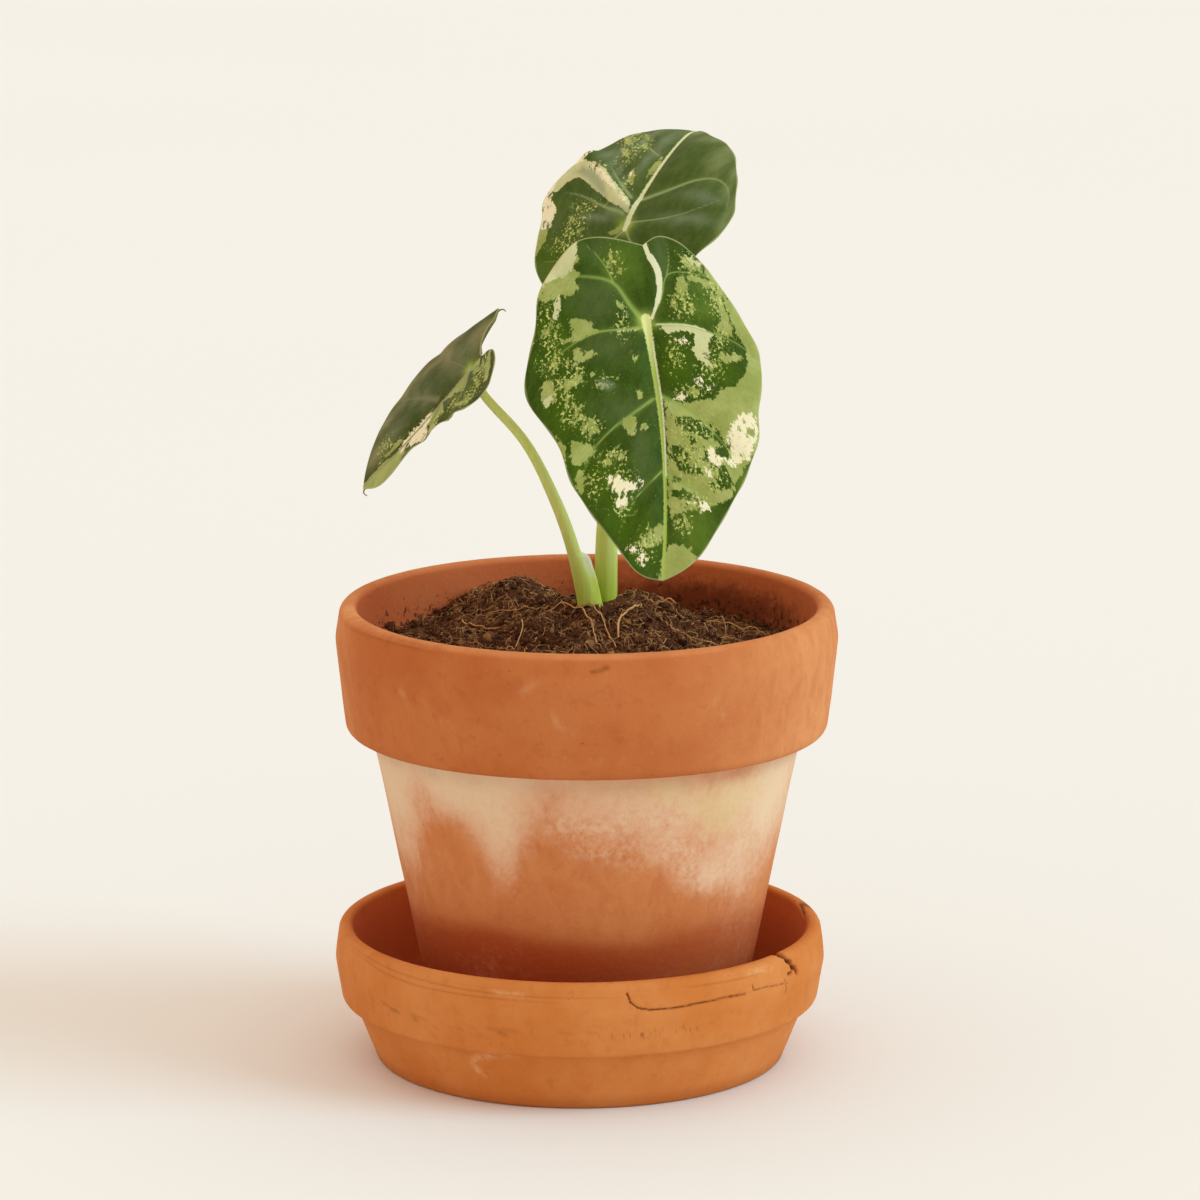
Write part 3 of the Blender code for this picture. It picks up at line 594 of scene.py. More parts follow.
def saucerPiece():
    # The saucer's profile, turned, with its flake, cracks, creases and pits as relief and as painted shade
    shape, radius = saucerShape, saucerShape["radius"]

    def spacing(r, z):
        # The finest steps on the outer wall, where the cracks are
        if r > 50.6 and z > 20.5:
            return shape["fine"]
        return shape["coarse"] * (0.35 if r > 44 else 1)

    def outer(place):
        # 1 on the outer wall above the foot, 0 elsewhere
        return (place.r > 50.2) * (place.z > 14)

    def cracks(place, strengthAt, widthAt):
        # Sum of bell curves across the cracks, whose lines are a little jagged
        jag = 0.14 * layeredNoise(place.angle, place.z, 0 * place.z, 0.5, 9, 2)
        return sum(crack[strengthAt] * bell(wallDistance(place, radius, crack[4])[0] + jag, crack[widthAt])
                   for crack in shape["cracks"])

    def pits(place):
        # Spots of noise on a band along the row of pits
        spots = layeredNoise(radius * np.radians(place.angle), place.z, 0 * place.z, 0.55, 17, 2)
        band = wallMarks(place, radius, [shape["pits"]], 0.6, 0.4)
        return band * smoothStep(spots, 0.15, 0.4) * outer(place)

    def flake(place):
        # The loose flake stands a hair proud of the clay below its edge
        turn = turnedFrom(place.angle, 0)
        edge = np.interp(turn, *np.array(shape["cracks"][0][4][1:]).T)
        return (smoothStep(place.z, edge - 0.05, edge + 0.2) * smoothStep(turn, -79.2, -78.4)
                * smoothStep(-turn, 34, 47) * smoothStep(-place.z, -31.2, -27.5) * outer(place))

    def relief(place):
        # Slow waver and fine grain, which end above the foot, then the marks
        x, y, z = place.x, place.y, place.z
        creases = wallMarks(place, radius, shape["creases"], 0.3, 0.5)
        return (0.14 * layeredNoise(x, y, 2 * z, 34.0, 11, 2) * smoothStep(z, 0.2, 2.0)
                + 0.03 * layeredNoise(x, y, 2 * z, 2.6, 13, 2) * smoothStep(z, 0.1, 1.0)
                + 0.2 * flake(place) - 0.25 * pits(place)
                - (cracks(place, 0, 1) + 0.16 * creases) * outer(place))

    def lip(place):
        # The lip runs down a little, most at the front
        return smoothStep(place.z, 25, 30.5) * (0.25 * np.sin(np.radians(place.angle)) - 1.0)

    def shadeAndDirt(place):
        # Painted shade in the cracks and pits, and weaker in the creases
        creases = wallMarks(place, radius, shape["creases"], 0.25, 0.5)
        return np.clip(cracks(place, 2, 3) + 0.22 * creases + 0.55 * pits(place), 0, 1) * outer(place)

    tones = {
        "inside": lambda place: (smoothStep(-place.outward, -0.2, 0.7)
                                 + (place.r < 44.5) * (place.z > 3)) * (place.z < 30),
        "shadeAndDirt": shadeAndDirt,
        "scuff": lambda place: np.clip(wallMarks(place, shape["footRadius"], shape["scuffs"], 0.8),
                                       0, 1) * (place.r > 45),
    }
    profile = splitProfile(roundedProfile(shape["profile"], 7), spacing, False)
    turns = turnsWithFocus(shape["columns"], *shape["focus"], shape["focusShare"])
    made = turnedPiece("saucerClay", profile, turns, shape["centreX"], False, relief, lip, tones,
                       saucerFinish())
    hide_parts("saucer")


soilShape = {
    "level": 89.6, "lump": 0.7,
    "mounds": ((2.5, 10.0, 8.6, 15.0), (-18.0, 36.0, 6.5, 9.0), (13.5, 17.0, 4.2, 4.5),
               (-30.0, -8.0, 1.6, 16.0), (20.0, -26.0, 1.2, 14.0)),  # x, y, rise, spread
    "wall": ((92.0, 49.4), (76.0, 45.0)),  # the pot's inner radius at two heights
    "reach": 48.7, "scatterReach": 48.0, "stems": (3.2, 11.5),  # where nothing loose may lie
    "rings": 100, "columns": 360, "crumbs": 6000, "fibres": 4200, "fibreSteps": 6, "rootSteps": 26,
    "seed": 41,
}
soilLook = {"dark": (44, 21, 11), "brown": (112, 65, 38), "tan": (192, 136, 88), "fibre": (226, 168, 106),
            "fibreDark": (104, 58, 34), "corm": (196, 172, 134), "cormDark": (140, 104, 66)}


def soilHeight(x, y):
    # The soil's level, its mounds as bell curves, and small lumps, as in the CAD part
    height = soilShape["level"] + 0 * x
    for moundX, moundY, rise, spread in soilShape["mounds"]:
        height = height + rise * np.exp(-((x - moundX) ** 2 + (y - moundY) ** 2) / (2 * spread ** 2))
    lumps = np.sin(0.42 * x + 1.3) * np.sin(0.37 * y + 0.4) + np.sin(0.31 * x - 0.55 * y)
    return height + soilShape["lump"] * 0.5 * lumps


def soilTop(x, y):
    # The visible surface: clods, crumbs and pits over the plain soil
    clods = layeredNoise(x, y, 0 * x, 4.6, 21, 3)
    crumbs = layeredNoise(x, y, 0 * x, 1.3, 25, 3)
    near = smoothStep(np.hypot(x - 3, y - 11), 4, 9)
    heap = 1.5 * np.exp(-((x + 17) ** 2 / (2 * 7.5 ** 2) + (y - 37) ** 2 / (2 * 5.5 ** 2)))
    calm = 1 - 0.45 * heap
    return (soilHeight(x, y) + 0.8 + heap
            + (1.7 * clods + 1.0 * np.abs(crumbs) - 0.3) * (0.3 + 0.7 * near) * calm)


def soilFinish(name, byPiece):
    # Mottled dark soil with tan spots; loose crumbs are each darker or more tan by their tone
    look = soilLook
    soil = Finish(name, 0.95, 0.15)
    place = soil.place()
    soil.colour = soil.mix(level(grain(place, 1.5, 5.0, 0.7), 0.34, 0.66), look["dark"], look["brown"])
    soil.coat(level(grain(place, 0.8, 3.0, 0.6), 0.62, 0.72, 0.0, 0.45), look["tan"])
    if byPiece:
        tone = soil.field("tone")
        soil.coat(level(tone, 0.006, 0.0, 0.0, 0.8), look["dark"])
        soil.coat(tone, look["tan"])
    return soil.done(grain(place, 0.5, 4.0, 0.7), 0.3)


def fibreFinish():
    # Coir from dark to tan by the tone of each fibre
    fibre = Finish("coirFibre", 0.75, 0.3)
    vary = fibre.field("tone") + level(grain(fibre.place(), 1.4), 0.3, 0.7, -0.2, 0.2)
    fibre.colour = fibre.mix(level(vary, 0.0, 1.0), soilLook["fibreDark"], soilLook["fibre"])
    return fibre.done()


def dressNode(name, finish):
    # Gives a CAD node its finish
    nodes[name].data.materials.clear()
    nodes[name].data.materials.append(finish)


def cormFinish():
    # Pale root skin with brown mottling
    corm = Finish("cormSkin", 0.7, 0.35)
    place = corm.place()
    corm.colour = corm.mix(level(grain(place, 2.0, 5.0), 0.4, 0.65), soilLook["corm"], soilLook["cormDark"])
    return corm.done(grain(place, 0.8, 4.0), 0.2)


def wallRadius(z):
    # The pot's inner radius at a height, on a straight line through the two known ones
    (highZ, highR), (lowZ, lowR) = soilShape["wall"]
    return lowR + (highR - lowR) * (z - lowZ) / (highZ - lowZ)


def fanFaces(tip, ring, outward):
    # Triangles from one point to the corners of closed rings, turned to face outwards
    ahead = np.roll(ring, -1, -1)
    return np.stack((np.broadcast_to(tip, ring.shape), *((ring, ahead) if outward else (ahead, ring))),
                    -1).reshape(-1, 3)


def soilSurface(finish):
    # Rings r from the middle to the wall, turned by t and lifted to soilTop, then a skirt
    shape = soilShape
    rings, columns = shape["rings"], shape["columns"]
    turns = fullTurn(columns)
    r = (np.arange(1, rings + 1) / rings)[:, None] ** 0.9 * shape["reach"]
    x, y = r * np.cos(turns), r * np.sin(turns)
    z = soilTop(x, y)
    inWall = np.minimum(1, (wallRadius(z) - 0.12) / np.maximum(r, 1))
    x, y = x * inWall, y * inWall
    skirt = np.stack((x[-1] * 0.985, y[-1] * 0.985, z[-1] - 2.2), -1)
    middle = ((0, 0, soilTop(np.zeros(1), np.zeros(1))[0]), (0, 0, shape["level"] - 3.0))
    points = np.concatenate((np.stack((x, y, z), -1).reshape(-1, 3), skirt, middle))
    ring = np.arange(columns)
    caps = np.concatenate((fanFaces(len(points) - 2, ring, True),
                           fanFaces(len(points) - 1, rings * columns + ring, False)))
    made = makePiece("soilSurface", points, gridQuads(rings + 1, columns, False, True), caps, [finish])


def scatter(draw, amount):
    # Places spread evenly over a disc: a random turn, and the root of a random share of the radius
    turn = draw.uniform(0, 2 * pi, amount)
    away = soilShape["scatterReach"] * np.sqrt(draw.uniform(0, 1, amount))
    return away * np.cos(turn), away * np.sin(turn)


def stemDistance(x, y):
    # Distance to the middle of the stems
    return np.hypot(x - soilShape["stems"][0], y - soilShape["stems"][1])


def soilCrumbs(draw, finish):
    # Each a 20-sided ball, stretched, made ragged and turned at random, half sunk in the surface
    golden = (1 + 5 ** 0.5) / 2
    ball = np.array([(a, b * golden, 0) for a in (-1, 1) for b in (-1, 1)])
    ball = np.concatenate((ball, np.roll(ball, 1, 1), np.roll(ball, 2, 1))) / np.hypot(1, golden)
    work = bmesh.new()
    for corner in ball:
        work.verts.new(corner)
    bmesh.ops.convex_hull(work, input=work.verts)
    work.verts.index_update()
    ballFaces = np.array([[v.index for v in face.verts] for face in work.faces])
    work.free()
    amount, corners = soilShape["crumbs"], len(ball)
    x, y = scatter(draw, amount)
    size = 0.24 + 0.68 * draw.uniform(0, 1, amount) ** 3.2
    stretch = size[:, None] * draw.uniform(0.4, 1.45, (amount, 3))
    ragged = 1 + 0.45 * draw.uniform(-1, 1, (amount, corners, 1))
    turn = draw.uniform(0, 2 * pi, amount)[:, None]
    c, s = np.cos(turn), np.sin(turn)
    lumpX, lumpY, lumpZ = np.moveaxis(ball * ragged * stretch[:, None], -1, 0)
    lumps = np.stack((lumpX * c - lumpY * s, lumpX * s + lumpY * c, lumpZ), -1)
    centre = np.stack((x, y, soilTop(x, y) + 0.15 * size), -1)
    keep = stemDistance(x, y) > 5.2
    lumps = (lumps + centre[:, None])[keep]
    faces = (ballFaces[None] + corners * np.arange(len(lumps))[:, None, None]).reshape(-1, 3)
    tone = np.repeat(draw.uniform(0, 1, amount)[keep] ** 4 * 0.75, corners)
    made = makePiece("soilCrumbs", lumps.reshape(-1, 3), (), faces, [finish], fields={"tone": tone},
                     weld=False, smooth=False)


def threadPiece(name, routes, radii, sides, finish, tones=None):
    # Tubes along many routes at once: at each point a ring is set square to the route, smaller at
    # both ends, and each end is closed with a point and a fan. Each thread may have a tone.
    ahead = unit(np.gradient(routes, axis=1))
    side = unit(np.cross(ahead, (0.12, 0.2, 1.0)))  # the second is a direction that no thread runs in
    over = np.cross(side, ahead)
    turn = fullTurn(sides)
    ring = side[..., None, :] * np.cos(turn)[:, None] + over[..., None, :] * np.sin(turn)[:, None]
    many, steps = routes.shape[:2]
    taper = np.array((0.35, *np.ones(steps - 2), 0.35))
    points = (routes[..., None, :] + ring * (radii * taper)[..., None, None]).reshape(-1, 3)
    first = (np.arange(many) * steps * sides)[:, None]
    faces = (gridQuads(steps, sides, False, True) + first[..., None]).reshape(-1, 4)
    rings = first + np.arange(sides)
    tips = many * steps * sides + np.arange(many)[:, None]
    caps = np.concatenate((fanFaces(tips, rings, False),
                           fanFaces(tips + many, rings + (steps - 1) * sides, True)))
    points = np.concatenate((points, routes[:, 0], routes[:, -1]))
    fields = {}
    if tones is not None:
        fields["tone"] = np.concatenate((np.repeat(tones, steps * sides), tones, tones))
    return makePiece(name, points, faces, caps, [finish], fields=fields, weld=False)


def soilFibres(draw):
    # Three-sided threads on arcs that lie on the surface and lift in the middle
    amount, steps = soilShape["fibres"], soilShape["fibreSteps"]
    x, y = (place[:, None] for place in scatter(draw, amount))
    length = 1.4 + 8.0 * draw.uniform(0, 1, (amount, 1)) ** 3
    heading = draw.uniform(0, 2 * pi, (amount, 1))
    swerve = draw.normal(0, 1.5, (amount, 1))
    lift = 0.5 + 2.0 * draw.uniform(0, 1, (amount, 1)) ** 2.5
    thick = 0.055 + 0.07 * draw.uniform(0, 1, (amount, 1)) ** 2
    part = np.linspace(-0.5, 0.5, steps)
    way = heading + swerve * part * 2
    x, y = x + length * part * np.cos(way), y + length * part * np.sin(way)
    slant = draw.uniform(-1, 1, (amount, 1)) * part * 1.6
    z = soilTop(x, y) + 0.15 + lift * (0.9 - 4.4 * part ** 2 + slant) * 0.55
    inWall = np.minimum(1, (wallRadius(z) - 0.3) / np.hypot(x, y))
    route = np.stack((x * inWall, y * inWall, z), -1)
    clear = stemDistance(route[..., 0], route[..., 1]).min(1) > 4.2
    tone = draw.uniform(0, 1, amount) ** 1.7
    widths = thick[clear] * np.ones(steps)
    made = threadPiece("soilFibres", route[clear], widths, 3, fibreFinish(), tone[clear])


# Long roots that lie in sight, as (x, y, lift) from end to end
longRoots = (
    {"path": ((-9, 12, .3), (-5.5, 8.5, .9), (-1.7, 4, 1.0), (1.0, -3, .8), (2.5, -12, .5)),
     "radius": .15, "tone": 1.0},
    {"path": ((-1.2, 9, .5), (1.2, 4, 1.2), (3.6, -2, 1.1), (6.4, -12, .5)), "radius": .14, "tone": .95},
    {"path": ((11.5, 8, 1.4), (9.8, 4, 2.2), (7.4, -1, 1.9), (6.9, -8, .6)), "radius": .24, "tone": .8},
    {"path": ((12, 12, 1.8), (16.5, 9.5, 3.4), (19.6, 11, 3.2), (18.6, 13.5, 1.4)),
     "radius": .17, "tone": .6},
    {"path": ((24, 16, .5), (29, 15, 1.6), (35, 13, 1.8), (41, 13, .9)), "radius": .15, "tone": .75},
    {"path": ((26, 12, .3), (28.5, 10, 3.6), (30, 9, 4.2), (30.5, 7, .8)), "radius": .12, "tone": .6},
    {"path": ((-28, 23, .5), (-27, 14, 1.6), (-24, 8, 1.6), (-19, 6, .5)), "radius": .14, "tone": .95},
    {"path": ((-25, 26, .4), (-20, 19, 1.4), (-13, 16, 1.2), (-9, 21, .4)), "radius": .12, "tone": .7},
    {"path": ((-15, 3, .5), (-14, -3, 1.6), (-15.5, -9, 1.2)), "radius": .12, "tone": .8},
    {"path": ((17, 4, .5), (21, 0, 1.4), (25, -2, 1.2), (31, -1, .6)), "radius": .14, "tone": .7},
    {"path": ((-30, -20, .5), (-14, -25, 1.2), (2, -27, 1.3), (20, -24, .6)), "radius": .15, "tone": .8},
)


def soilRoots():
    # Each root follows a smooth curve on the ground, lifted by the third number of its path
    steps = soilShape["rootSteps"]
    routes = np.array([curveAlong(root["path"], np.linspace(0, 1, steps)) for root in longRoots])
    routes[..., 2] += soilTop(routes[..., 0], routes[..., 1])
    widths = np.array([[root["radius"]] * steps for root in longRoots])
    made = threadPiece("soilRoots", routes, widths, 6, fibreFinish(), [root["tone"] for root in longRoots])


# Points along each stalk, as (x, y, z, reach to the left, reach to the right, depth). The sheath is
# the rim of the left stalk that reaches on to the right, as (z, x) of its edge, with an ear on top.
stalkShapes = {
    "petiole_left": {
        "path": ((1.7, 7.3, 86.2, 2.5, 2.6, 4.3), (1.0, 7.4, 93.0, 2.6, 2.6, 4.6),
                 (0.3, 7.4, 99.0, 2.3, 2.3, 4.5), (-0.9, 7.0, 104.5, 2.0, 2.0, 4.1),
                 (-2.3, 6.4, 109.5, 1.6, 1.6, 3.4), (-4.2, 5.5, 116.0, 1.42, 1.42, 2.9),
                 (-8.5, 4.0, 127.0, 1.22, 1.22, 2.5), (-14.5, 2.5, 138.0, 1.06, 1.06, 2.15),
                 (-20.6, 1.6, 145.0, 1.0, 1.0, 2.0), (-23.0, 1.2, 148.3, 0.95, 0.95, 1.9),
                 (-24.3, 0.7, 152.2, 0.95, 0.95, 1.9)),
        "sheath": ((86, 4.7), (92, 4.4), (98, 3.7), (104.5, 2.3), (107.5, 1.35), (109.0, 0.95),
                   (109.9, 0.45), (110.5, -0.2), (110.9, -1.0), (111.3, -2.2)),
        "fresh": 0.85, "rings": 150,
    },
    "petiole_front": {
        "path": ((4.3, 12.2, 86.0, 2.2, 2.2, 4.2), (4.1, 12.2, 100.0, 2.35, 2.35, 4.4),
                 (4.2, 12.2, 112.0, 2.35, 2.35, 4.3), (5.3, 12.0, 128.0, 2.0, 2.0, 3.8),
                 (8.0, 10.8, 148.0, 1.45, 1.45, 2.9), (10.4, 7.5, 158.5, 1.2, 1.2, 2.4),
                 (11.8, 2.8, 162.5, 1.1, 1.1, 2.2), (12.7, -2.9, 164.1, 1.05, 1.05, 2.1)),
        "sheath": (), "fresh": 1.0, "rings": 90,
    },
    "petiole_back": {
        "path": ((4.6, 17.0, 86.0, 1.8, 1.8, 3.6), (4.9, 17.0, 100.0, 1.8, 1.8, 3.6),
                 (5.4, 18.5, 125.0, 1.6, 1.6, 3.2), (7.6, 22.5, 150.0, 1.3, 1.3, 2.6),
                 (10.1, 26.0, 168.0, 1.15, 1.15, 2.3), (10.9, 25.3, 175.6, 1.05, 1.05, 2.1),
                 (8.9, 21.0, 180.7, 1.0, 1.0, 2.0)),
        "sheath": (), "fresh": 0.9, "rings": 90,
    },
}
stalkLook = {
    "pale": ((224, 234, 130), (230, 238, 148)), "green": ((150, 176, 16), (168, 190, 28)),
    "membrane": ((186, 198, 52), (206, 212, 88)), "ear": (238, 234, 210), "foot": (140, 112, 56),
    "sides": 40,
}


def stalkFinish(name, fresh):
    # Streaky pale green, fresher towards the soil, then the sheath, its ear and a brown foot
    look = stalkLook
    stalk = Finish(name, 0.45, 0.12, subsurface=0.16, reach=(1.0, 1.0, 0.3), depth=1.6)
    place = stalk.place()
    z = axes(place)[2]
    streak = grain(stalk.place((2.0, 2.0, 0.1)), 1.2, 3.0, 0.5)
    stalk.colour, green, membrane = (stalk.mix(level(streak, 0.3, 0.7), *look[key])
                                     for key in ("pale", "green", "membrane"))
    stalk.coat(level(z, 122.0, 92.0, 0.0, fresh), green)
    stalk.coat(stalk.field("sheath") * 0.45, membrane)
    stalk.coat(stalk.field("ear") * 0.8, look["ear"])
    stalk.coat(level(z + grain(place, 2.2, 5.0, 0.65) * 4.0, 99.6, 97.4, 0.0, 0.55), look["foot"])
    return stalk.done(streak, 0.04)


def stalkPiece(name):
    # A ring carried along the stalk's path: half an ellipse to each side, of its own width
    shape, sides = stalkShapes[name], stalkLook["sides"]
    table = curveAlong(shape["path"], np.linspace(0, 1, shape["rings"]))
    path, left, right, depth = table[:, :3], table[:, 3:4], table[:, 4:5], table[:, 5:6]
    ahead = unit(np.gradient(path, axis=0))
    across = np.zeros_like(ahead)
    direction = np.cross((0.0, 1.0, 0.0), ahead[0])
    for i, tangent in enumerate(ahead):
        direction = unit(direction - tangent * (direction @ tangent))
        across[i] = direction
    deep = np.cross(ahead, across)
    turn = fullTurn(sides)
    sheathReach = 0 * right
    if shape["sheath"]:
        heights, edges = np.array(shape["sheath"], float).T
        sheathReach = np.maximum(np.interp(path[:, 2], heights, edges) - path[:, 0], 0)[:, None]
        sheathReach = np.where(path[:, 2:3] < heights[-1], sheathReach, 0)
    out = np.cos(turn) * np.where(np.cos(turn) > 0, np.maximum(right, sheathReach), left)
    over = smoothStep(out - right, -0.5, 0.6) * (sheathReach > right)
    back = depth / 2 * np.sin(turn) * (1 - 0.45 * over)
    ribs = 1 + 0.012 * np.cos(9 * turn)[:, None]
    points = path[:, None] + (across[:, None] * out[..., None] + deep[:, None] * back[..., None]) * ribs
    ends = np.stack((path[0] - 0.3 * ahead[0], path[-1] + 0.4 * ahead[-1]))
    count, ring = over.size, np.arange(sides)
    caps = np.concatenate((fanFaces(count, ring, False), fanFaces(count + 1, count - sides + ring, True)))
    ear = over * smoothStep(points[..., 2], 104, 109.5)
    fields = {key: np.append(value, (0, 0)) for key, value in (("sheath", over), ("ear", ear))}
    made = makePiece(name + "Skin", np.concatenate((points.reshape(-1, 3), ends)),
                     gridQuads(shape["rings"], sides, False, True), caps,
                     [stalkFinish(name + "Green", shape["fresh"])], fields=fields)
    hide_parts(name)
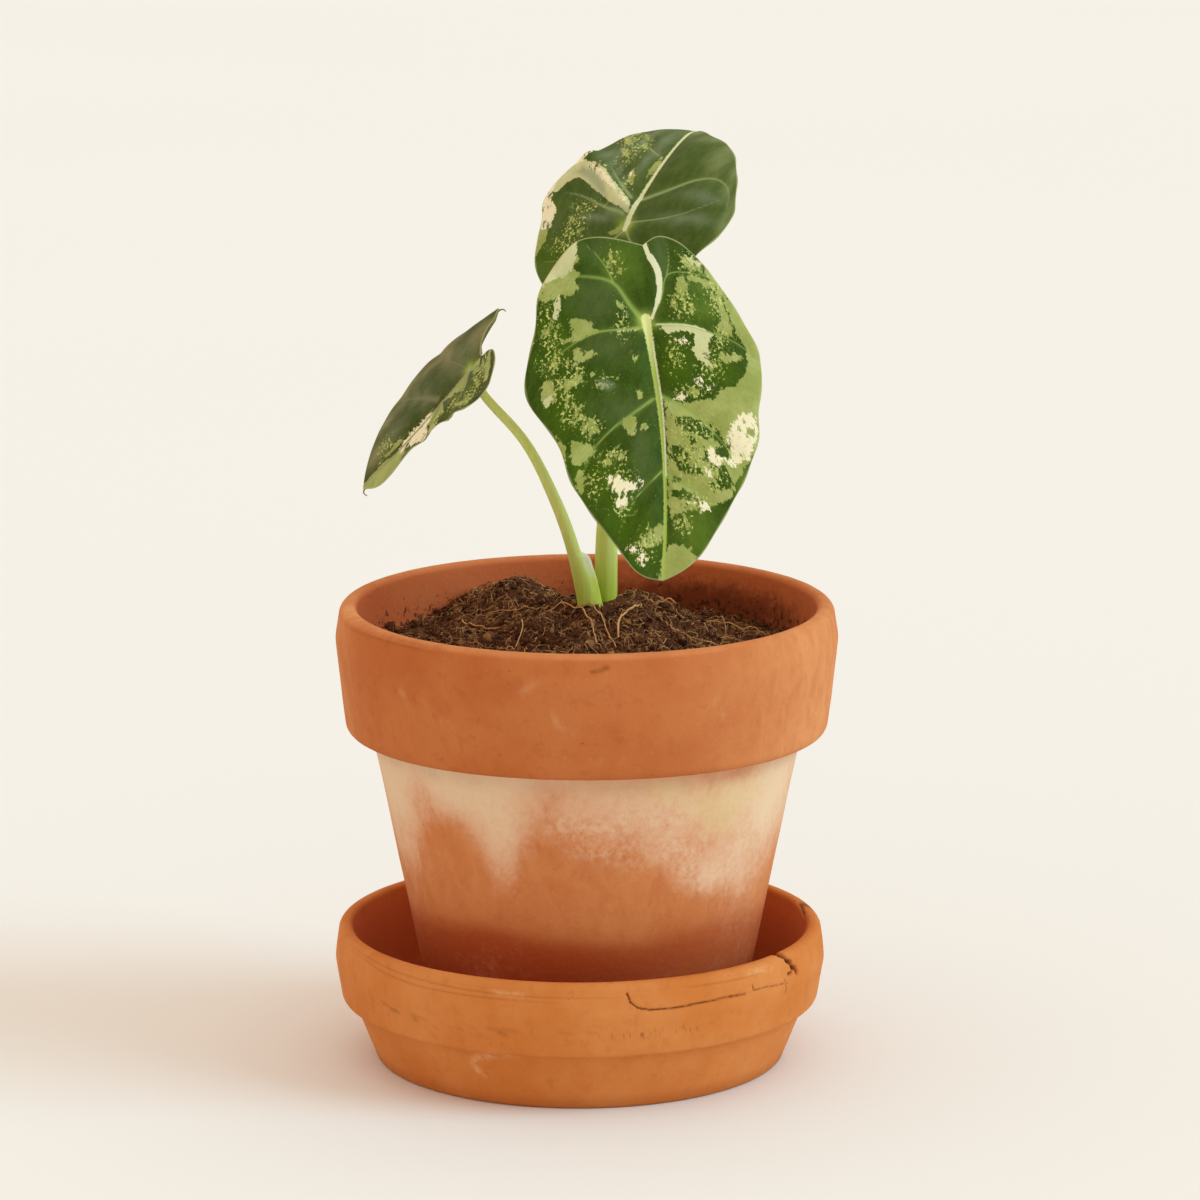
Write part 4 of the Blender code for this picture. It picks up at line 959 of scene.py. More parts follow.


# A flat leaf lies in its own plane, x from the stalk towards the tip and y across, and is then bent
# along and across, as in the CAD part: bend is along the midrib, fold and curl are across it, for the
# minus and the plus half. Veins are (width, points), folds (start, pull, end, rise, width). Patches of
# the variegation, and of painted sheen, are outlines, spots are (x, y, half length along x and y,
# turn), stripes (kind, half width, points), and soft zones of tone, of painted light through the leaf,
# of painted sheen, and of specks (x, y, reach along x and y), all listed by kind.
frontBlade = {
    "root": (12.8, -4, 164.7), "heading": 8, "dip": 70, "roll": 0, "length": 58.5, "sway": 2.2,
    "bend": (14, -6), "bendLobes": 6, "fold": (8, 8), "foldToTip": (0, 0), "curl": (-18, -18),
    "curlLobes": (0, -38), "ribWidth": (1.15, 0.44), "fray": 4, "spokes": 232, "rings": 76,
    "minus": (
        (58.5, 0), (57.6, -4.3), (51.7, -9.1), (44.5, -13.8), (34.4, -18.8), (24.9, -21.9),
        (19.7, -25.6),
        (12.1, -27), (3.3, -24.6), (-4.1, -23.5), (-8.7, -21.8), (-13.8, -17.9), (-17.1, -14.4),
        (-17.8, -8.5), (-16.9, -3.6), (-16, 0),
    ),
    "plus": (
        (58.5, 0), (57.2, 3.2), (53.6, 8.1), (47.2, 12.7), (39.6, 17.5), (32, 21.4), (26.5, 23.2),
        (20.5, 23.7), (12.8, 25), (8.5, 24.7), (1.1, 22.1), (-5.6, 18.8), (-11, 15), (-14.6, 10.8),
        (-17.2, 6.8), (-17.9, 3.2), (-16, 0),
    ),
    "veins": (
        (1, ((2, -1.2), (2.4, -6), (2.8, -10.3), (5.4, -16.2), (9.2, -21.6))),
        (0.9, ((17.9, 0.5), (21.7, -5), (25.5, -10), (30, -13.6), (36, -16.2))),
        (0.5, ((34, 1.5), (38, -3), (43, -6.5), (48, -9))),
        (1.7, ((0.5, -0.4), (-4, -4), (-7.7, -6.6), (-9.2, -11.2), (-9.7, -19))),
        (0.6, ((-7.7, -6.6), (-12.6, -9.1), (-16.2, -12.4))),
        (1, ((1.4, 2.1), (1.8, 9.5), (3.6, 14.6), (5.4, 19), (9.6, 24))),
        (1, ((17.4, 2.9), (20.5, 8.2), (25.4, 13), (31.5, 17.6))),
        (0.5, ((34.5, 2.2), (38.5, 8), (43, 13))),
        (0.7, ((-0.3, 1.3), (-5.4, 3.9), (-9.2, 4.9), (-9.8, 11), (-9, 17))),
        (0.4, ((-9.2, 4.9), (-13, 5.6), (-16.5, 5.2))),
    ),
    "folds": (),
    "tones": {"deep": (46, 70, 10), "mid": (62, 86, 20), "glow": (66, 94, 0), "grey": (82, 98, 52),
        "olive": (92, 118, 34), "rib": (164, 182, 84), "ribRoot": (226, 230, 158),
        "vein": (144, 168, 82)},
    "patches": {
        "pale": (
            ((-18.5, -14.6), (-13, -14.2), (-11.5, -15.2), (-10.2, -14.2), (-9.3, -15),
             (-7.2, -14.4),
             (-5.2, -15.3), (-4.7, -17), (-5.4, -18.6), (-4.6, -20), (-4.2, -22), (-6, -25),
             (-14, -21)),
            ((0, -16.7), (3.8, -16.4), (4.5, -14.5), (3.6, -12.2), (3, -10.2), (2.2, -9.4),
             (1.6, -11.5),
             (0.4, -13), (-0.1, -15)),
            ((4.2, -19), (5, -18.4), (4.9, -15.5), (4.4, -14), (3.9, -15)),
            ((6.6, -15.9), (8, -16.2), (10.2, -16.2), (9.4, -13.8), (7.8, -11.4), (7.2, -12.4),
             (8.1, -14.2),
             (6.8, -14.4)),
            ((12.1, -15), (13.2, -18.5), (15.2, -18.2), (15, -16), (13.6, -14.4)),
            ((13.1, -23), (16, -23.6), (19.3, -22.8), (18, -21), (15.5, -20.3), (13.3, -20.8)),
            ((20.8, -15.6), (22.5, -16.1), (25.1, -13.4), (24.8, -11.8), (23.2, -12.3), (22.4, -14),
             (21, -14.2)),
            ((22.3, -6.3), (24, -6.4), (26.1, -5.6), (25.9, -4.3), (24.6, -3.6), (22.2, -3.3),
             (21.2, -4.4)),
            ((26.5, -17.7), (28, -18.2), (31.6, -18.1), (32.4, -16), (31.3, -14.5), (29.4, -12.5),
             (27.5, -13.4), (27.1, -15.5)),
            ((33, -16.7), (35.2, -17.8), (39.4, -16.3), (37, -15.3), (33.4, -15.3)),
            ((25.4, -20.9), (28.5, -20.6), (32.4, -19.4), (28, -19.3)),
            ((45.5, 1.2), (46.8, -1.5), (48.2, -4.1), (50.9, -4.4), (51.4, -2), (50.2, 0),
             (48, 1.1)),
            ((50.8, 2), (53, 0.2), (59, -1.4), (59, 2), (56.2, 5.8), (53.6, 7.2), (51.7, 6.1),
             (50.4, 3.4)),
            ((40.4, 3), (43, 2.4), (44.1, 4), (43.3, 6.1), (41.4, 6.3), (40.7, 4.5)),
            # The large pale area of the right half, in which the dark outlines are islands
            ((18.3, 3.2), (44.7, 2.4), (42.8, 6), (43.6, 10), (41.5, 13.5), (40.4, 16),
             (37.5, 17.2),
             (33, 20), (28, 24), (22, 26), (10, 27), (2, 26), (-6, 22.5), (-14, 17), (-10.4, 13.6),
             (-7.5, 16.2), (-2, 18.2), (2, 19.4), (4.6, 20), (7, 21.4), (10, 22), (13, 20.8),
             (15.4, 18.8),
             (16.2, 15.5), (17, 14.4), (18.5, 13.8), (18.7, 9)),
            ((8.2, 15.8), (10, 15), (10.2, 18.6), (9.2, 20.5), (8, 19.5), (8.6, 17.6)),
            ((-13.8, 7.6), (-11.2, 8.8), (-10.2, 11), (-10.5, 13.6), (-13, 13)),
            ((-9.6, 7), (-5, 6.7), (-4.7, 9.1), (-7, 9.7), (-9, 8.7)),
            ((-3.3, 9.5), (-2, 8.9), (-1.1, 9.8), (-1.7, 11), (-3.1, 10.7)),
            ((-9.6, 10), (-8.4, 9.4), (-7.3, 13), (-5.5, 14.8), (-2.5, 15.2), (0, 16.6), (1, 16),
             (3.2, 15.4),
             (4.6, 17.5), (4.4, 18.8), (2, 18.7), (0, 18.4), (-2.5, 17.8), (-5, 17.2), (-7.4, 16.4),
             (-8.8, 13)),
        ),
        "butter": (
            ((-18.5, -14.4), (-14, -14.4), (-11, -16), (-9.4, -17), (-8.9, -20), (-7.6, -22),
             (-10, -24),
             (-16, -19.5)),
            ((-5, -18.4), (-3.6, -20), (-0.4, -20.4), (0.2, -19.2), (-2.4, -18.6)),
            ((16.2, -21.2), (17.2, -22.8), (19.4, -23), (18.4, -21.4)),
            ((1.3, 3.8), (2.4, 3.1), (3.4, 4.5), (3.2, 8), (4, 10.4), (6, 9.9), (7.4, 9.5),
             (9.3, 10.8),
             (11, 12.8), (11.7, 14.1), (10, 13.4), (7.6, 13.1), (5.4, 13.4), (3.8, 14.6), (2.5, 13),
             (1.6, 9),
             (1.3, 6)),
            ((-13.6, 9.6), (-12, 10.4), (-11.2, 13), (-12.4, 13.6)),
        ),
        "sheen": (
            ((13.5, -11.5), (15.5, -11.4), (16.2, -9.3), (15, -7.8), (13.6, -9.5)),
        ),
        "cream": (
            ((35.5, -11.6), (36.5, -10), (38, -9.8), (39.5, -8), (38.6, -6), (38.2, -4),
             (36.8, -4.4),
             (36.2, -6.5), (35.3, -8.4)),
            ((39.9, -9.1), (42, -9.4), (41.4, -7.4), (40.2, -5.9), (39.7, -7.5)),
            ((21.6, 19.6), (24.4, 17.4), (27, 16.2), (30, 16.6), (33, 18.2), (31.4, 20.4),
             (27.4, 22.8),
             (23.4, 23.2), (21.6, 21.6)),
            ((29, 12), (31, 11.5), (33.3, 13), (32.4, 15), (33.8, 17.7), (32.3, 17.8), (31.1, 15),
             (29.5, 13)),
            ((39.5, 6.9), (41, 6.5), (41.6, 8.6), (43.6, 9), (43.1, 11.2), (41.9, 11.5),
             (41.1, 9.6)),
            ((16.7, 6.2), (17.9, 5.5), (18.5, 7), (17.3, 7.8)),
            ((5, 6), (5.8, 7.2), (5.6, 9), (4.9, 8.6)),
        ),
        "dark": (
            ((16, 8.8), (17.4, 8.8), (18.3, 13.8), (16.5, 14.4), (15.7, 11.5)),
            ((22.3, 5.3), (24, 4.9), (25.2, 7), (26.1, 9.5), (27.7, 11), (26.8, 12.2), (25.2, 12.6),
             (24.1, 11), (23, 10.5), (22.5, 8)),
            ((28.3, 4), (30.2, 3.4), (33.5, 5), (35.1, 8), (35, 9.8), (32.6, 9.6), (31.6, 7.6),
             (29.6, 6.5),
             (28.5, 5.6)),
            ((26.7, 7.5), (28.5, 8.4), (28, 9.5), (26.8, 8.8)),
            ((24.5, 13.4), (26.6, 12.7), (28.6, 14), (31.2, 13.1), (31.7, 15.9), (29.4, 16),
             (27.4, 14.9),
             (25.6, 14.7)),
            ((33.5, 12.4), (35, 13.2), (37, 12.7), (38.7, 13.8), (38.5, 16.1), (36.4, 16.6),
             (34.4, 15.5),
             (33.1, 14)),
            ((38.1, 3), (39.8, 3.6), (40.7, 6), (42.1, 9), (41.2, 9.9), (39.5, 8), (38.3, 6)),
            ((30, 11.1), (33, 10.3), (32, 11.8), (30.6, 11.8)),
            ((35.2, 4), (36.4, 3.4), (36.8, 5.2), (35.8, 6)),
        ),
    },
    "spots": {
        "pale": (
            (17, -2.5, 0.9, 0.7, 0), (24, -1.7, 0.8, 0.7, 0), (30.8, -7.6, 0.7, 1.1, 30),
            (32, -10.2, 0.7, 1.3, 30), (8.8, -3, 0.8, 0.5, 0), (-2.7, -5.4, 1.7, 0.5, 35),
            (9.5, -20.5, 0.8, 0.6, 0), (12.2, -12.6, 0.5, 0.5, 0), (19.4, -15.4, 0.6, 0.9, 30),
            (-13.6, -7.2, 0.7, 0.4, 20),
        ),
        "cream": (
            (53.2, -4.4, 1.4, 0.7, 15), (51.6, -6, 0.5, 0.8, 0), (14.2, 10.8, 0.6, 0.9, 20),
            (15.6, 12, 0.5, 0.9, 0), (36.4, -3.9, 0.5, 0.5, 0), (34.6, 11.6, 0.8, 0.4, 30),
        ),
    },
    "soft": {
        "glow": (
            (20, -19, 7, 3.5), (33, -16, 8, 2.5), (43, -8, 8, 4), (35, -12, 6, 3), (10, 6, 7, 4),
            (12, 15.5, 4, 4), (50, -3, 6, 4), (5, -20, 7, 4),
        ),
        "olive": (
            (-2, 13, 3.4, 5), (48, 8, 9, 4), (-12, -5, 5, 4), (-7, 13, 3, 3), (37, 19, 9, 2),
        ),
        "grey": (
            (-4, -11, 5, 5), (6, -9, 3.5, 5.5), (-14, 3.6, 5, 2.5), (-15, -9, 3, 4),
            (20, -6.5, 3, 6),
            (30, -3, 7, 2),
        ),
    },
    "specks": (
        (-1.5, -21.5, 5, 3), (4, -21, 5, 4.5), (9, -20.5, 5, 5), (15, -19, 6, 4), (12, -16, 5, 3),
        (21, -17.5, 5, 4), (24, -13.5, 4, 4), (31, -9.5, 3.5, 5), (36, -8, 4, 5),
        (37, -13.5, 6, 2.5),
        (42, -8, 4, 3.5), (52, -4, 4, 3.5), (-12, -6.5, 5, 3), (1.5, -5.5, 5, 2.6), (-12, 11, 4, 5),
        (-5, 16, 7, 3.5), (5, 16, 4.5, 4), (11, 13, 6, 4.5), (16.5, 9, 2.8, 6), (25, 9, 4.5, 7),
        (32, 8, 6, 6), (36, 13, 5, 4), (41, 8, 3, 5), (46.5, 5, 4, 3), (49, -2.5, 3.5, 3),
        (8, 6, 6, 3),
        (-3, 8, 6, 4), (14, -10, 3, 3.5), (28, 16, 3, 2),
    ),
    "stripes": (
        ("white", 0.5, ((-16.6, 0.2), (-14, 1))),
        ("white", 0.72, ((-13.4, 1.4), (-12, 2.2), (-9.6, 3.1), (-7.6, 3.2))),
        ("white", 0.6, ((-8.6, 3.2), (-6, 3.2), (-3.6, 2.7))),
        ("white", 0.38, ((-4.6, 2.9), (-2.5, 2.3), (0, 1.4))),
        ("white", 0.2, ((4, 1.3), (7, 1.5), (10, 1.8), (17, 2.45), (25, 2.7), (35, 2.4))),
        ("white", 0.16, ((1.3, 2.4), (1.4, 5), (1.7, 9), (2.8, 13))),
        ("cream", 0.2, ((2.2, -2), (2.4, -6))),
    ),
}
backBlade = {
    "root": (8.1, 20, 181.4), "heading": 149, "dip": -60, "roll": -4, "length": 37.6, "sway": -2.4,
    "bend": (-56, -42), "bendLobes": 12, "fold": (6, 5), "foldToTip": (0, 0), "curl": (-21, -16),
    "curlLobes": (6, 6), "ribWidth": (0.78, 0.42), "fray": 1.6, "spokes": 184, "rings": 60,
    "minus": (
        (37.6, 0), (34.6, -3.4), (30.4, -8.4), (26.4, -15), (19.1, -21.3), (11.6, -24.3),
        (2.3, -25),
        (-1.4, -23), (-5.7, -20.3), (-11, -18.2), (-15.2, -14), (-17, -9), (-16.3, -4), (-13.5, 0),
    ),
    "plus": (
        (37.6, 0), (36, 6.4), (32.7, 12.6), (25.9, 15.6), (20.7, 19.4), (16.4, 22.4), (10, 25.7),
        (6, 25.5),
        (0.2, 23.4), (-5.7, 22.4), (-11.6, 19.5), (-15.3, 15.9), (-17.2, 10), (-16.5, 4.5),
        (-13.5, 0),
    ),
    "veins": (
        (0.6, ((1.5, -1), (2.5, -8), (5, -15), (9, -21))),
        (1.3, ((7.4, -2.4), (10, -8), (13, -13), (14.4, -18.6), (12.6, -21.6), (7, -23.2))),
        (0.8, ((0, 0), (-5, -4.5), (-8, -10), (-9, -17))),
        (1.1, ((3.4, 1.2), (5.4, 8), (8.2, 15), (9.4, 20))),
        (1, ((7.4, 0.6), (11, 5), (15.4, 9.5))),
        (0.5, ((21, 0), (25.5, 6), (32, 10.5))),
        (0.8, ((0, 0), (-5.4, 5), (-8, 11), (-9, 19))),
    ),
    "folds": (
        ((5, 2), (14, 9), (18.5, 17), 1.6, 2.6),
        ((18.5, 17), (17, 22), (8, 23), 0.9, 2.6),
    ),
    "tones": {"deep": (66, 86, 32), "mid": (82, 100, 46), "glow": (76, 102, 10),
        "grey": (118, 134, 102),
        "olive": (128, 142, 92), "rib": (224, 228, 180), "ribRoot": (230, 232, 186),
        "vein": (152, 170, 112)},
    "patches": {
        "butter": (
            ((3.6, 0), (6, 0), (8.6, 3.5), (11.6, 7.3), (14.6, 10.8), (16.2, 14), (17.2, 18),
             (17.8, 20.4),
             (14, 24), (10, 26), (8.8, 22.4), (12, 20.4), (13, 18), (12.2, 15.6), (9.9, 12),
             (7.9, 8.6),
             (5.9, 5.6), (4.8, 2.6)),
        ),
        "cream": (
            ((8, 4.2), (10.6, 6.8), (13.6, 10.4), (15.2, 13.4), (15.6, 16.4), (14.2, 14),
             (12, 10.6),
             (9.6, 7)),
            ((5.6, 0.4), (7, 1.6), (8.2, 3.4), (7, 3.2), (5.8, 1.6)),
            ((16.6, 17.6), (18.8, 16), (21.5, 18), (19.6, 21.5), (16.8, 20.6)),
            ((-0.6, 20), (5, 20), (6.6, 22.4), (9, 23.6), (12, 23.4), (10, 26.4), (5, 26.4),
             (0, 25),
             (-1.2, 22)),
        ),
        "pale": (
            ((-1, 20.4), (-4, 20), (-7.4, 21.4), (-8, 24), (-2, 24.6), (0, 24)),
            ((-1.9, 2.6), (-1, 1.4), (0, 0.8), (1.6, 0.8), (0, 2.2), (-1.2, 3.6)),
        ),
        "sheen": (
            ((7, 6.4), (9.4, 7.4), (12.4, 10.6), (14.8, 14), (15.8, 17.6), (14.4, 19.4),
             (12.8, 15.6),
             (10.4, 12), (8.2, 9)),
        ),
    },
    "spots": {
        "pale": (
            (12.6, 2.6, 2, 0.9, 25), (-2.3, 13.2, 0.4, 1.4, 10), (1, 13.2, 0.4, 1, 10),
            (17, -1.2, 3, 0.6, -4), (26.5, 11.5, 3.4, 0.9, 40), (32, 12.4, 2, 0.8, 30),
            (21, 9, 2.6, 0.6, 42),
            (24, 5.4, 2.2, 0.6, 42), (29, 8, 3, 0.5, 42), (5.5, 6.6, 0.3, 1, 20),
        ),
        "cream": (
            (13.4, 3.2, 0.9, 0.4, 25),
        ),
    },
    "soft": {
        "glow": (
            (-9, 17, 5, 5), (-5, 21, 4, 2), (2, -0.5, 2, 1.6),
        ),
        "grey": (
            (3.4, 3.4, 1.4, 4), (2, 8, 1.2, 5), (9.5, 4, 4, 1), (14, 7, 4, 1.2), (18, 1.6, 5, 1.2),
            (25, 1.4, 8, 1.8), (19.5, 12.5, 3, 2), (20, 10, 7, 1.6), (28, 7, 7, 1.6),
            (3, -15, 1.6, 8),
            (9, -17, 1.6, 5),
        ),
        "olive": (
            (5, -24.2, 8, 1.4), (16, -21.8, 7, 1.5), (23.5, -17, 4, 2.2), (28, -10.5, 2.6, 4),
            (33, -3.5, 3, 3), (20, -17, 6, 3),
        ),
    },
    "specks": (
        (-2, 13, 3, 5), (1, 12.5, 3, 4.5), (22, 7, 9, 5), (12, 3, 5, 2.4), (28, 11, 6, 4),
        (5, 12, 3, 6),
        (15, 13, 1.6, 4), (-5, 15, 3, 5),
    ),
    "stripes": (),
}
leftBlade = {
    "root": (-25.4, 0, 153.4), "heading": -115, "dip": 48, "roll": -37, "length": 38.8, "sway": 0.4,
    "bend": (8, -12), "bendLobes": 0, "fold": (9, 9.5), "foldToTip": (0, -8), "curl": (-17, -3),
    "curlLobes": (-26, -22), "ribWidth": (0.7, 0.34), "fray": 2.4, "spokes": 170, "rings": 58,
    "minus": (
        (38.8, 0), (36.1, -4.9), (31.7, -11.2), (26.2, -15.8), (19.2, -18.4), (13.5, -19),
        (6, -16.8),
        (-1.3, -14.4), (-6.8, -12.2), (-10.9, -10), (-8, -7.6), (-4.8, -4.4), (-3.7, -2), (-4, 0),
    ),
    "plus": (
        (38.8, 0), (35, 4.9), (30, 8.4), (25.4, 8), (20.6, 7.4), (15.4, 9), (10.2, 10.8),
        (5.5, 13.4),
        (-0.4, 17.8), (-3.7, 18.4), (-6.8, 16.2), (-9.2, 12.4), (-9.8, 7.8), (-7.7, 3.5),
        (-4.6, 1.2), (-4, 0),
    ),
    "veins": (
        (0.7, ((1, -1), (4.5, -7.5), (8, -13), (10, -17))),
        (2, ((11.6, -2), (14.6, -6), (18.2, -10.4), (22.6, -15))),
        (0.6, ((0, 0), (-5, -3.4), (-9, -8))),
        (0.8, ((1, 1), (3, 7), (7.6, 12))),
        (0.8, ((11, 0.6), (14, 5), (17, 8))),
        (0.6, ((0, 0), (-4, 5), (-5, 15))),
    ),
    "folds": (),
    "tones": {"deep": (52, 66, 18), "mid": (72, 80, 32), "glow": (84, 98, 18),
        "grey": (112, 118, 80),
        "olive": (142, 134, 92), "rib": (150, 150, 112), "ribRoot": (160, 160, 120),
        "vein": (122, 122, 84)},
    "patches": {
        "cream": (
            ((12.4, 0.4), (14.6, -0.6), (20, -0.8), (26, -0.5), (25.4, 2.6), (23.6, 5.2), (21.6, 5),
             (20.6, 6.6), (15, 9), (15.6, 4.4)),
        ),
        "pale": (
            ((8.4, 6), (9.4, 1), (11.6, 0), (14.4, 1.2), (15, 4), (14, 9.8), (11, 11), (12.4, 7.4),
             (11, 8.4),
             (8.4, 9)),
            ((23.6, 5.4), (25.4, 0.4), (30, -0.6), (39, -0.8), (39, 2), (35, 6), (30, 9.4), (26, 9),
             (22, 6)),
            ((4.6, 8.2), (5.4, 8.6), (3, 13.4), (1, 15.6), (0.6, 14.6), (3, 11.6)),
            ((-4.2, 1.4), (-1.4, -0.4), (1, 0.6), (-1, 3), (-3, 3.4)),
            ((1, 1.2), (4, 0.6), (8, 0.8), (10, 1.6), (8, 3.6), (5, 4.4), (2.6, 6.6), (1.4, 9),
             (0, 7),
             (0.6, 4)),
            ((-8.8, 5), (-7.6, 4.6), (-6, 8), (-5, 13), (-6.6, 14.6), (-8, 11)),
        ),
    },
    "spots": {
        "pale": (
            (-5.8, 8.4, 0.4, 3.4, 10), (-2.4, 4.4, 0.7, 2.6, 0), (-3.2, 11, 0.6, 2.4, 10),
            (-1.2, 16, 2.4, 0.6, 0), (6.2, 3.4, 0.9, 2, 20), (27, -1.4, 4, 0.5, 0),
            (30.2, -5, 1.2, 0.4, 0),
        ),
        "cream": (
            (4.8, 1.6, 1.2, 0.5, 0),
        ),
    },
    "soft": {
        "glow": (
            (-1, 12, 5, 4), (4.5, 10, 3.5, 4),
        ),
        "grey": (
            (3, -6, 5, 6), (14.5, -6, 2.6, 4), (18, -10.4, 2.4, 4), (22, -14.6, 2.6, 4),
            (26, -5, 5, 3),
            (3, 3, 3.5, 3), (-3, -5, 4, 4),
        ),
        "olive": (
            (8, -15.4, 10, 2.6), (20, -17, 6, 2), (6, -13, 3, 4), (-6, -7, 5, 3), (33, -5, 4, 3),
            (28, -12, 4, 3),
        ),
    },
    "specks": (
        (-5, 7, 4.5, 7), (4, 8, 5, 5), (11, 8, 4, 3), (-1, 14, 5, 4), (29, -4, 4, 4),
    ),
    "stripes": (),
}
bladeShapes = {"blade_front": frontBlade, "blade_back": backBlade, "blade_left": leftBlade}


leafLook = {
    "pale": (153, 162, 86), "paleWarm": (169, 175, 102), "butter": (208, 206, 156),
    "butterDark": (190, 194, 138), "cream": (240, 230, 194), "thread": (126, 146, 66),
    "white": (222, 222, 184),
    "margin": (186, 186, 132), "under": (120, 140, 80), "star": (178, 198, 92), "silverSheen": (132, 146, 116),
    "speck": (194, 200, 114), "fresh": (110, 130, 50),
    "thickness": 0.5, "groove": 0.75, "grooveWidth": 2.3, "midribRise": 0.8,
}


def turnedLength(angleAt, length, samples=32):
    # Advance and rise over a length of a curve whose angle at each distance is known
    middles = (np.arange(samples) + 0.5) / samples
    angle = np.radians(angleAt(length[..., None] * middles))
    return np.cos(angle).mean(-1) * length, np.sin(angle).mean(-1) * length


def midribY(blade, x):
    # The midrib sways to one side as a half sine along the leaf
    return blade["sway"] * np.sin(pi * np.clip(x / blade["length"], 0, 1))


def midribDistance(blade, x, y):
    # The nearest place along the midrib, and the distance to it
    along = np.clip(x, 0, blade["length"])
    return along, np.hypot(x - along, y - midribY(blade, along))


def smoothLine(points, samples=20):
    # A smooth curve through points, at even fractions of its length
    return curveAlong(points, np.linspace(0, 1, samples))


def pullLine(start, pull, end, samples=20):
    # A quadratic curve from start to end, pulled towards a point between them
    part = np.linspace(0, 1, samples)[:, None]
    return (np.array(start, float) * (1 - part) ** 2 + 2 * np.array(pull, float) * part * (1 - part)
            + np.array(end, float) * part ** 2)


def bladeRelief(blade, x, y):
    # Quilting: broad grooves along the veins with a sharper line in each, the raised folds, and a
    # slight swell of the leaf between its veins
    _, nearest = midribDistance(blade, x, y)
    sharp = bell(nearest, 0.8)
    for _, points in blade["veins"]:
        away, part = lineDistance(x, y, smoothLine(points))
        nearest = np.minimum(nearest, away)
        sharp = np.maximum(sharp, bell(away, 0.45) * (1 - 0.7 * part))
    toTip = 1 - 0.8 * smoothStep(x / blade["length"], 0.62, 0.95)
    height = -(leafLook["groove"] * bell(nearest, leafLook["grooveWidth"]) + 0.16 * sharp) * toTip
    for start, pull, end, rise, width in blade["folds"]:
        height = height + rise * bell(lineDistance(x, y, pullLine(start, pull, end))[0], width)
    return height + 0.1 * layeredNoise(x, y, 0 * x, 5.0, 31, 2)


def bladeAxes(blade):
    # Unit vectors towards the tip, across and up from the leaf, turned by heading, dip and roll
    heading, dip, roll = (radians(blade[key]) for key in ("heading", "dip", "roll"))
    tip = np.array((cos(dip) * sin(heading), -cos(dip) * cos(heading), -sin(dip)))
    side = np.array((cos(heading), sin(heading), 0.0))
    upper = np.cross(tip, side)
    return tip, cos(roll) * side + sin(roll) * upper, cos(roll) * upper - sin(roll) * side


def bladePoint(blade, x, y):
    # The bent blade: its midrib turns with the distance from the stalk, each half is lifted at the
    # midrib and curls with the distance from it, and the relief is added square to the midrib
    sway = midribY(blade, x)
    across = y - sway
    plus = across >= 0

    def bendAt(distance):
        # Degrees by which the midrib has turned: a parabola ahead of the stalk, a line behind it
        linear, squared = blade["bend"]
        ahead = linear * distance / 50 + squared * (distance / 50) ** 2
        return np.where(distance >= 0, ahead, blade["bendLobes"] * distance / 20)

    def ofHalf(key, extra, share):
        # A number of this half of the leaf, and a second one that comes in with a share
        ofMinus, ofPlus = (blade[key][half] + blade[extra][half] * share for half in (0, 1))
        return np.where(plus, ofPlus, ofMinus)

    forward, lift = turnedLength(bendAt, x)
    fold = ofHalf("fold", "foldToTip", np.clip(x / 50, -0.4, 1.2))
    curl = ofHalf("curl", "curlLobes", np.clip((8 - x) / 20, 0, 1) ** 1.5)
    side, rise = turnedLength(lambda distance: fold[..., None] + curl[..., None] * distance / 20,
                              np.abs(across))
    rise = rise + bladeRelief(blade, x, y)
    lean = np.radians(bendAt(x))
    forward = forward - np.sin(lean) * rise
    lift = lift + np.cos(lean) * rise
    side = np.where(plus, side, -side) + sway
    moves = zip((forward, side, lift), bladeAxes(blade))
    return np.array(blade["root"]) + sum(move[..., None] * axis for move, axis in moves)


def insidePatch(x, y, outline):
    # Distance to a closed outline, counted as positive inside it, where a line from the place
    # crosses the outline an odd number of times
    outline = np.array(outline, float)
    away, _ = lineDistance(x, y, np.concatenate((outline, outline[:1])))
    inside = np.zeros(x.shape, bool)
    for (startX, startY), (endX, endY) in zip(outline, np.roll(outline, -1, 0)):
        crosses = (startY > y) != (endY > y)
        step = endY - startY if endY != startY else 1e-9
        inside ^= crosses & (x < startX + (y - startY) * (endX - startX) / step)
    return np.where(inside, away, -away)


def softSpots(spots, x, y):
    # Strength of soft oval zones: 1 in the middle of each, fading as a bell curve both ways
    total = np.zeros(x.shape)
    for centreX, centreY, alongX, alongY in spots:
        total = np.maximum(total, bell(x - centreX, alongX) * bell(y - centreY, alongY))
    return total


def splashFields(blade, x, y):
    # How far inside the splashes of each kind a place is, in mm, less than 0 outside them
    wavyX = x + 0.3 * layeredNoise(x, y, 0 * x, 2.6, 51, 2)
    wavyY = y + 0.3 * layeredNoise(x, y, 0 * x, 2.6, 57, 2)
    found = {kind: np.full(x.shape, -6.0) for kind in ("pale", "butter", "cream", "dark", "white", "sheen")}
    for kind, outlines in blade["patches"].items():
        for outline in outlines:
            found[kind] = np.maximum(found[kind], insidePatch(wavyX, wavyY, outline))
    for kind, spots in blade["spots"].items():
        for centreX, centreY, alongX, alongY, turn in spots:
            awayX, awayY = wavyX - centreX, wavyY - centreY
            c, s = cos(radians(turn)), sin(radians(turn))
            reach = np.hypot((awayX * c + awayY * s) / alongX, (awayY * c - awayX * s) / alongY)
            found[kind] = np.maximum(found[kind], (1 - reach) * min(alongX, alongY))
    for kind, width, line in blade["stripes"]:
        found[kind] = np.maximum(found[kind], width - lineDistance(x, y, smoothLine(line, 16))[0])
    dark = found.pop("dark")
    for kind in ("pale", "cream", "butter"):
        found[kind] = np.minimum(found[kind], -dark)
    # Soft zones: painted light through the leaf, painted grey sheen, and olive tone
    for kind in ("glow", "grey", "olive"):
        found[kind] = softSpots(blade["soft"][kind], x, y)
    found["specks"] = softSpots(blade["specks"], x, y)
    return found


